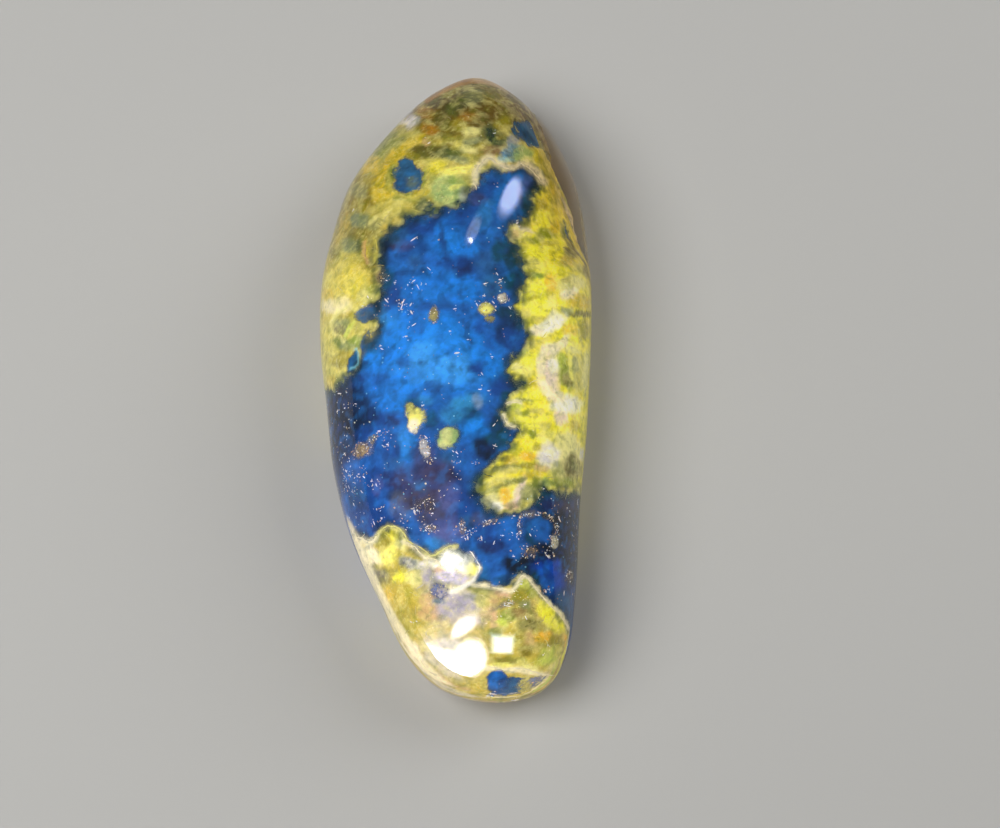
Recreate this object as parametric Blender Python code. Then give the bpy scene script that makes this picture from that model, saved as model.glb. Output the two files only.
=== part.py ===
"""A polished piece of blue amber: one free-form cabochon with a domed face and a flat back.

Metres, +Z up. The flat back lies on Z = 0 with the origin in its middle. +Y runs along the
stone to its broad, rounded end, and -Y to the end that tapers to one side.
"""

import math

import bmesh
import bpy
from mathutils import Vector

# Driving dimensions
LENGTH = 0.0264
WIDTH = 0.0110
HEIGHT = 0.0064
GIRDLE_HEIGHT = 0.0018
FLAT_BACK_SHARE = 0.84
CROWN = (-0.0004, 0.0012)
DOME_FULLNESS = 2.3
POLISH_WAVE = 0.00006

# Mesh density
OUTLINE_STEPS = 3
BACK_RINGS = 5
DOME_RINGS = 22

# The outline that the polisher left, in millimetres about its middle, anticlockwise from the
# widest point of the +X side. It is scaled to LENGTH and WIDTH.
OUTLINE_MM = [
    (5.5, 3.3),
    (5.35, 5.7),
    (4.95, 8.3),
    (4.0, 10.7),
    (2.9, 12.15),
    (1.8, 13.05),
    (0.9, 13.4),
    (-0.1, 13.15),
    (-1.5, 12.2),
    (-3.0, 10.5),
    (-4.3, 8.5),
    (-4.95, 6.4),
    (-5.4, 4.0),
    (-5.4, 1.4),
    (-5.1, -1.2),
    (-4.75, -4.0),
    (-4.0, -6.8),
    (-2.9, -9.25),
    (-1.75, -11.6),
    (-0.25, -13.0),
    (1.8, -13.4),
    (3.5, -12.9),
    (4.4, -11.4),
    (4.75, -9.0),
    (4.95, -5.5),
    (5.3, -1.5),
]

AMBER_COLOUR = (0.03, 0.16, 0.42, 1.0)
AMBER_ROUGHNESS = 0.05
AMBER_IOR = 1.54


def clear_scene():
    """Removes every object that the file opened with."""
    for old in list(bpy.data.objects):
        bpy.data.objects.remove(old)


def spline_point(before, start, end, after, t):
    """A point at share t of the Catmull-Rom span from start to end."""
    return 0.5 * (
        2 * start
        + (end - before) * t
        + (2 * before - 5 * start + 4 * end - after) * t**2
        + (3 * start - before - 3 * end + after) * t**3
    )


def outline():
    """The closed outline as plan points, smooth through OUTLINE_MM and scaled to the stone's size."""
    knots = [Vector(p) for p in OUTLINE_MM]
    count = len(knots)
    points = []
    for i in range(count):
        span = [knots[(i + k - 1) % count] for k in range(4)]
        points += [spline_point(*span, k / OUTLINE_STEPS) for k in range(OUTLINE_STEPS)]
    low = Vector((min(p.x for p in points), min(p.y for p in points)))
    high = Vector((max(p.x for p in points), max(p.y for p in points)))
    middle = (low + high) / 2
    size = high - low
    return [
        Vector(((p.x - middle.x) * WIDTH / size.x, (p.y - middle.y) * LENGTH / size.y))
        for p in points
    ]


def profile():
    """(reach, height, dome share) from the rim of the flat back, round the girdle and up to the crown.

    Reach is a share of the outline's distance from the crown, and dome share is 0 up to the
    girdle and 1 at the crown.
    """
    rings = []
    for i in range(BACK_RINGS):
        turn = math.pi / 2 * i / BACK_RINGS
        reach = FLAT_BACK_SHARE + (1 - FLAT_BACK_SHARE) * math.sin(turn)
        rings.append((reach, GIRDLE_HEIGHT * (1 - math.cos(turn)), 0.0))
    for i in range(DOME_RINGS):
        reach = math.cos(math.pi / 2 * i / DOME_RINGS)
        rise = (1 - reach**DOME_FULLNESS) ** (1 / DOME_FULLNESS)
        rings.append((reach, GIRDLE_HEIGHT + (HEIGHT - GIRDLE_HEIGHT) * rise, rise))
    return rings


def polish_wave(x, y):
    """How far hand polishing left the dome above or below its even form, at its strongest."""
    across = math.sin(2 * math.pi * (x / WIDTH * 0.9 + 0.1))
    along = math.sin(2 * math.pi * (y / LENGTH * 2.6 + x / WIDTH * 0.4))
    return POLISH_WAVE * (0.45 * across + 0.55 * along - 1)


def ring_points(plan, reach, height, dome_share):
    """One closed ring of the surface."""
    crown = Vector(CROWN)
    points = []
    for p in plan:
        at = crown + (p - crown) * reach
        points.append((at.x, at.y, height + dome_share * polish_wave(at.x, at.y)))
    return points


def amber_mesh():
    """The whole stone as one closed mesh: flat back, rounded girdle and dome."""
    plan = outline()
    bm = bmesh.new()
    rings = [[bm.verts.new(p) for p in ring_points(plan, *ring)] for ring in profile()]
    count = len(plan)
    for lower, upper in zip(rings, rings[1:]):
        for i in range(count):
            k = (i + 1) % count
            bm.faces.new((lower[i], lower[k], upper[k], upper[i]))
    crown = bm.verts.new((*CROWN, HEIGHT + polish_wave(*CROWN)))
    for i in range(count):
        bm.faces.new((rings[-1][i], rings[-1][(i + 1) % count], crown))
    bm.faces.new(list(reversed(rings[0])))
    mesh = bpy.data.meshes.new("amber")
    bm.to_mesh(mesh)
    bm.free()
    mesh.shade_smooth()
    mesh.set_sharp_from_angle(angle=math.radians(40))
    return mesh


def amber_material():
    """Clear, polished resin with the blue glow that gives the stone its name."""
    material = bpy.data.materials.new("polished_amber")
    material.use_nodes = True
    shader = material.node_tree.nodes["Principled BSDF"]
    shader.inputs["Base Color"].default_value = AMBER_COLOUR
    shader.inputs["Roughness"].default_value = AMBER_ROUGHNESS
    shader.inputs["Metallic"].default_value = 0.0
    shader.inputs["IOR"].default_value = AMBER_IOR
    return material


def make_amber():
    """The stone as one named object."""
    stone = bpy.data.objects.new("amber", amber_mesh())
    stone.data.materials.append(amber_material())
    bpy.context.scene.collection.objects.link(stone)
    return stone


clear_scene()
make_amber()
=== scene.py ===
import math

import bpy
import numpy as np
from mathutils import Matrix, Vector, noise
from mathutils.bvhtree import BVHTree
from mathutils.kdtree import KDTree


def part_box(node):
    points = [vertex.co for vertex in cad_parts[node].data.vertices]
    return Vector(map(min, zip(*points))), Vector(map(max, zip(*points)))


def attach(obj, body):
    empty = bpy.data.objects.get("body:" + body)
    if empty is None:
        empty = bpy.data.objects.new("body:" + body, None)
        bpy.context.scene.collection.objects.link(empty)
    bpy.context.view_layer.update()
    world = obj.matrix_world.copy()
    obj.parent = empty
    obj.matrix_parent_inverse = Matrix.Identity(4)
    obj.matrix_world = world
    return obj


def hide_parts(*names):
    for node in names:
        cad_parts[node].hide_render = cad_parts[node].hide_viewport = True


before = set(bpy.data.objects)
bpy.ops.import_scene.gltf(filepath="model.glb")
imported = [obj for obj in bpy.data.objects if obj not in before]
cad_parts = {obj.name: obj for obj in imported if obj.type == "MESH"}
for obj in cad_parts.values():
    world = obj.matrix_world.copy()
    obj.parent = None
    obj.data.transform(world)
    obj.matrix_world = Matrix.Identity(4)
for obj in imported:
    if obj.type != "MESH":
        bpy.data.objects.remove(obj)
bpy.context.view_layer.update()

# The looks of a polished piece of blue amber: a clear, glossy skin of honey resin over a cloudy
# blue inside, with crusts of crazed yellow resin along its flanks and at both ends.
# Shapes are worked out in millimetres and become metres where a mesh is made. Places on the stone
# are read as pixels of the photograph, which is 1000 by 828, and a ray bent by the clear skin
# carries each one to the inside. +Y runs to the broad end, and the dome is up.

MM = 0.001

# Size and form of the stone, from its solid
LOW, HIGH = (Vector(corner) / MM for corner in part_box("amber"))
LENGTH = HIGH.y - LOW.y
WIDTH = HIGH.x - LOW.x
HEIGHT = 6.4
GIRDLE_HEIGHT = 1.8
FLAT_BACK_SHARE = 0.84
CROWN = (-0.4, 1.2)
DOME_FULLNESS = 2.3
POLISH_WAVE = 0.06

# The outline, anticlockwise from the widest point of the +X side, with how far the cloudy inside
# stays back from it: x, y, gap
OUTLINE = [
    (5.5, 3.3, 0.5),
    (5.35, 5.7, 1.75),
    (4.95, 8.3, 1.9),
    (4.0, 10.7, 1.65),
    (2.9, 12.15, 1.2),
    (1.8, 13.05, 1.0),
    (0.9, 13.4, 0.9),
    (-0.1, 13.15, 0.8),
    (-1.5, 12.2, 0.8),
    (-3.0, 10.5, 0.8),
    (-4.3, 8.5, 0.8),
    (-4.95, 6.4, 0.8),
    (-5.4, 4.0, 0.5),
    (-5.4, 1.4, 0.4),
    (-5.1, -1.2, 0.4),
    (-4.75, -4.0, 0.4),
    (-4.0, -6.8, 0.4),
    (-2.9, -9.25, 0.4),
    (-1.75, -11.6, 0.5),
    (-0.25, -13.0, 0.6),
    (1.8, -13.4, 0.6),
    (3.5, -12.9, 0.6),
    (4.4, -11.4, 0.8),
    (4.75, -9.0, 0.5),
    (4.95, -5.5, 0.4),
    (5.3, -1.5, 0.35),
]

# The inside below the clear skin
INSIDE_BOTTOM = 0.45
INSIDE_GIRDLE = 2.2
INSIDE_TOP = 5.88
LEAST_COVER = 0.06

# The photograph's view
PHOTO_WIDTH, PHOTO_HEIGHT = 1000, 828
PIXEL = 0.0401
FOCAL, SENSOR = 100.0, 36.0
ELEVATION = math.radians(70)
TARGET = Vector((1.784, -1.288, 1.491))

AMBER_IOR = 1.54


# Camera

DISTANCE = PIXEL * PHOTO_WIDTH * FOCAL / SENSOR
BACK = Vector((0.0, -math.cos(ELEVATION), math.sin(ELEVATION)))
RIGHT = Vector((1.0, 0.0, 0.0))
UP = BACK.cross(RIGHT)
EYE = TARGET + BACK * DISTANCE


def make_camera():
    data = bpy.data.cameras.new("camera")
    data.lens = FOCAL
    data.sensor_width = SENSOR
    data.clip_start = 0.005
    data.clip_end = 10.0
    camera = bpy.data.objects.new("camera", data)
    camera.location = EYE * MM
    camera.rotation_mode = "QUATERNION"
    camera.rotation_quaternion = (-BACK).to_track_quat("-Z", "Y")
    bpy.context.scene.collection.objects.link(camera)
    bpy.context.scene.camera = camera


def sight(px, py):
    """The direction in which the camera sees a pixel of the photograph."""
    across = RIGHT * ((px - PHOTO_WIDTH / 2) * PIXEL)
    down = UP * ((py - PHOTO_HEIGHT / 2) * PIXEL)
    return (across - down - BACK * DISTANCE).normalized()


# Forms

def spline_point(before, start, end, after, t):
    """A point at share t of the Catmull-Rom span from start to end."""
    return 0.5 * (
        2 * start
        + (end - before) * t
        + (2 * before - 5 * start + 4 * end - after) * t**2
        + (3 * start - before - 3 * end + after) * t**3
    )


def closed_curve(knots, steps):
    """Points of the smooth closed curve through the knots."""
    knots = np.array(knots, float)
    count = len(knots)
    points = []
    for i in range(count):
        span = [knots[(i + k - 1) % count] for k in range(4)]
        points += [spline_point(*span, k / steps) for k in range(steps)]
    return np.array(points)


def outline_curve(steps, inset=0.0):
    """The plan outline with the gap of the cloudy inside taken off inset times."""
    curve = closed_curve(OUTLINE, steps)
    plan, gap = curve[:, :2], curve[:, 2:]
    low, high = plan.min(0), plan.max(0)
    plan = (plan - (low + high) / 2) * (WIDTH, LENGTH) / (high - low)
    along = np.roll(plan, -1, 0) - np.roll(plan, 1, 0)
    inward = np.stack([-along[:, 1], along[:, 0]], 1)
    inward /= np.linalg.norm(inward, axis=1, keepdims=True)
    return plan + inward * gap * inset


def polish_wave(x, y):
    """How far hand polishing left the dome above or below its even form, at its strongest."""
    across = np.sin(2 * math.pi * (x / WIDTH * 0.9 + 0.1))
    along = np.sin(2 * math.pi * (y / LENGTH * 2.6 + x / WIDTH * 0.4))
    return POLISH_WAVE * (0.45 * across + 0.55 * along - 1)


def dome_form(plan, bottom, girdle, top, wave, back_rings, dome_rings):
    """Points and faces of a closed form: flat back, rounded girdle and dome."""
    profile = []
    for i in range(back_rings):
        turn = math.pi / 2 * i / back_rings
        reach = FLAT_BACK_SHARE + (1 - FLAT_BACK_SHARE) * math.sin(turn)
        profile.append((reach, bottom + (girdle - bottom) * (1 - math.cos(turn)), 0.0))
    for i in range(dome_rings):
        reach = math.cos(math.pi / 2 * i / dome_rings)
        rise = (1 - reach**DOME_FULLNESS) ** (1 / DOME_FULLNESS)
        profile.append((reach, girdle + (top - girdle) * rise, rise))
    rings = []
    for reach, height, rise in profile:
        at = np.array(CROWN) + (plan - CROWN) * reach
        z = height + rise * wave * polish_wave(at[:, 0], at[:, 1])
        rings.append(np.column_stack([at, z]))
    crown = (*CROWN, top + wave * polish_wave(*CROWN))
    points = np.vstack(rings + [[crown]])
    count = len(plan)
    faces = [tuple(range(count - 1, -1, -1))]
    for ring in range(len(profile) - 1):
        for i in range(count):
            k = (i + 1) % count
            a, b = ring * count, (ring + 1) * count
            faces.append((a + i, a + k, b + k, b + i))
    last = (len(profile) - 1) * count
    faces += [(last + i, last + (i + 1) % count, len(points) - 1) for i in range(count)]
    return points, faces


def make_object(name, points, faces):
    """A smooth object from points in millimetres, with its place in its mesh."""
    mesh = bpy.data.meshes.new(name)
    mesh.from_pydata(np.asarray(points) * MM, [], faces)
    mesh.shade_smooth()
    piece = bpy.data.objects.new(name, mesh)
    bpy.context.scene.collection.objects.link(piece)
    return piece


def even_mesh(points, faces, voxel):
    """The closed form again as an even net of small quads: its points and faces."""
    mesh = bpy.data.meshes.new("form")
    mesh.from_pydata(points, [], faces)
    form = bpy.data.objects.new("form", mesh)
    bpy.context.scene.collection.objects.link(form)
    remesh = form.modifiers.new("even", "REMESH")
    remesh.mode = "VOXEL"
    remesh.voxel_size = voxel
    smooth = form.modifiers.new("smooth", "SMOOTH")
    smooth.factor = 0.5
    smooth.iterations = 2
    depsgraph = bpy.context.evaluated_depsgraph_get()
    even = bpy.data.meshes.new_from_object(form.evaluated_get(depsgraph))
    net = np.empty(len(even.vertices) * 3)
    even.vertices.foreach_get("co", net)
    faces = [tuple(face.vertices) for face in even.polygons]
    bpy.data.objects.remove(form)
    bpy.data.meshes.remove(even)
    bpy.data.meshes.remove(mesh)
    return net.reshape(-1, 3), faces


# What the camera sees through the skin

def bent(direction, normal, ratio):
    """A ray's direction after it passes a surface, with the ratio of the two refractive indices."""
    cosine = -direction.dot(normal)
    under = 1 - ratio**2 * (1 - cosine**2)
    return (direction * ratio + normal * (ratio * cosine - math.sqrt(max(under, 0)))).normalized()


def sights_inside(skin, inside, step):
    """Where each pixel's ray meets the inside, bent by the skin: (pixels, places)."""
    pixels, places = [], []
    for py in range(74, 712, step):
        for px in range(314, 600, step):
            direction = sight(px, py)
            spot, normal, _, _ = skin.ray_cast(EYE, direction)
            if spot is None:
                continue
            inward = bent(direction, normal, 1 / AMBER_IOR)
            deep, _, _, _ = inside.ray_cast(spot, inward)
            if deep is not None:
                pixels.append((px, py))
                places.append(deep)
    return np.array(pixels, float), places


def as_seen(net, pixels, places):
    """The pixel at which each point of the inside shows, and how far it is from any that shows.

    A point on the underside takes the pixel of a place on the dome that drifts along the stone
    the lower the point lies, so that the pattern folds round the girdle and goes on.
    """
    tree = KDTree(len(places))
    for i, place in enumerate(places):
        tree.insert(place, i)
    tree.balance()
    fold = (INSIDE_TOP - INSIDE_GIRDLE) / (INSIDE_GIRDLE - INSIDE_BOTTOM)
    seen = np.empty((len(net), 2))
    unseen = np.empty(len(net))
    for n, (x, y, z) in enumerate(net):
        unseen[n] = tree.find((x, y, z))[2]
        if z < INSIDE_GIRDLE:
            y += 1.6 * (INSIDE_GIRDLE - z)
            z = INSIDE_GIRDLE + (INSIDE_GIRDLE - z) * fold
        near = tree.find_n((x, y, z), 3)
        weights = np.array([1 / (gap**2 + 1e-6) for _, _, gap in near])
        seen[n] = weights @ pixels[[i for _, i, _ in near]] / weights.sum()
    return seen, unseen


# What colour the inside has, and how it swells

# Colours of the resin, as screen values
AZURE = (22, 128, 228)
BRIGHT_AZURE = (30, 138, 238)
BLUE = (26, 96, 182)
DEEP_BLUE = (16, 64, 140)
NAVY = (18, 38, 88)
INK = (6, 22, 42)
TEAL = (8, 72, 96)
DARK_TEAL = (10, 50, 56)
SEA = (48, 140, 200)
STEEL = (40, 92, 138)
CYAN = (120, 192, 218)
LILAC = (86, 96, 160)
DUSK = (62, 58, 96)
MIST = (150, 158, 176)
LEMON = (244, 234, 44)
GOLD = (216, 192, 36)
ORANGE = (240, 190, 44)
AMBER_BROWN = (168, 118, 14)
BROWN = (124, 92, 62)
OLIVE = (118, 108, 22)
DARK_OLIVE = (86, 80, 18)
MOSS = (98, 116, 44)
STRAW = (204, 196, 92)
PALE_STRAW = (226, 222, 142)
LIME = (192, 206, 82)
PALE_GREEN = (150, 182, 110)
SAGE = (118, 132, 96)
HONEY = (190, 170, 62)
CREAM = (236, 228, 196)
WHITE = (250, 250, 244)
PEARL = (222, 220, 226)
PEACH = (212, 176, 140)
SKY = (66, 164, 246)
SPARK = (206, 232, 255)
ROYAL = (0, 62, 168)
UMBER_GREY = (66, 56, 70)
SUN = (244, 242, 56)
BUTTER = (248, 242, 120)
KHAKI = (152, 140, 22)
BRASS = (204, 194, 78)
UMBER = (92, 70, 8)
IVORY = (246, 238, 206)
SHELL = (236, 218, 206)
LAVENDER = (212, 204, 232)
FOG = (164, 158, 180)
TAN = (198, 164, 112)
SMOKE = (112, 106, 98)
FOREST = (52, 74, 48)
GREEN = (120, 138, 26)
LEAF = (124, 152, 60)

# The edge of the blue field, from the tip of its upper tongue clockwise
BLUE_FIELD = [
    (481, 174), (490, 166), (502, 171), (511, 170), (519, 166), (530, 170), (540, 183), (536, 190),
    (530, 199), (528, 212), (522, 222), (508, 228), (505, 236), (512, 243), (518, 252), (520, 262),
    (525, 272), (525, 280), (520, 291), (522, 300), (514, 306), (517, 314), (522, 324), (528, 335),
    (525, 346), (516, 355), (509, 362), (507, 372), (511, 380), (523, 383), (517, 393), (508, 402),
    (502, 412), (505, 424), (519, 430), (514, 439), (508, 448), (499, 456), (494, 465), (484, 472),
    (476, 480), (476, 490), (482, 499), (487, 510), (497, 515), (510, 513), (524, 508), (533, 503),
    (538, 493), (546, 488), (556, 492), (570, 494), (610, 486), (610, 650), (578, 636), (566, 620),
    (556, 609), (546, 600), (538, 588), (529, 579), (519, 576), (509, 584), (497, 588), (484, 584),
    (473, 585), (478, 570), (470, 556), (456, 547), (444, 547), (433, 556), (421, 550), (408, 543),
    (402, 531), (392, 527), (384, 529), (376, 537), (371, 541), (354, 536), (300, 500), (300, 394),
    (337, 390), (346, 378), (358, 369), (364, 352), (376, 339), (380, 326), (376, 318), (374, 312),
    (375, 307), (378, 300), (382, 288), (380, 272), (380, 258), (378, 246), (386, 234),
    (397, 226), (407, 218), (420, 214), (436, 214), (447, 208), (457, 206), (466, 197), (476, 187),
]
# The bright flank on the right, from its top clockwise
LEMON_FLANK = [
    (520, 150), (548, 150), (559, 172), (561, 205), (566, 240), (582, 262), (610, 270), (610, 480),
    (560, 486), (520, 510), (484, 508), (470, 490), (500, 455), (500, 380), (500, 240), (530, 220),
]
# The honey zone at the tapered end, from its upper left clockwise
HONEY_END = [
    (340, 520), (400, 525), (470, 548), (530, 575), (600, 630), (600, 720), (400, 720), (340, 600),
]
YELLOW_LOBE = [
    (534, 150), (543, 146), (551, 153), (559, 168), (563, 186), (561, 204), (553, 207), (547, 195),
    (541, 180), (536, 168),
]

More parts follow.
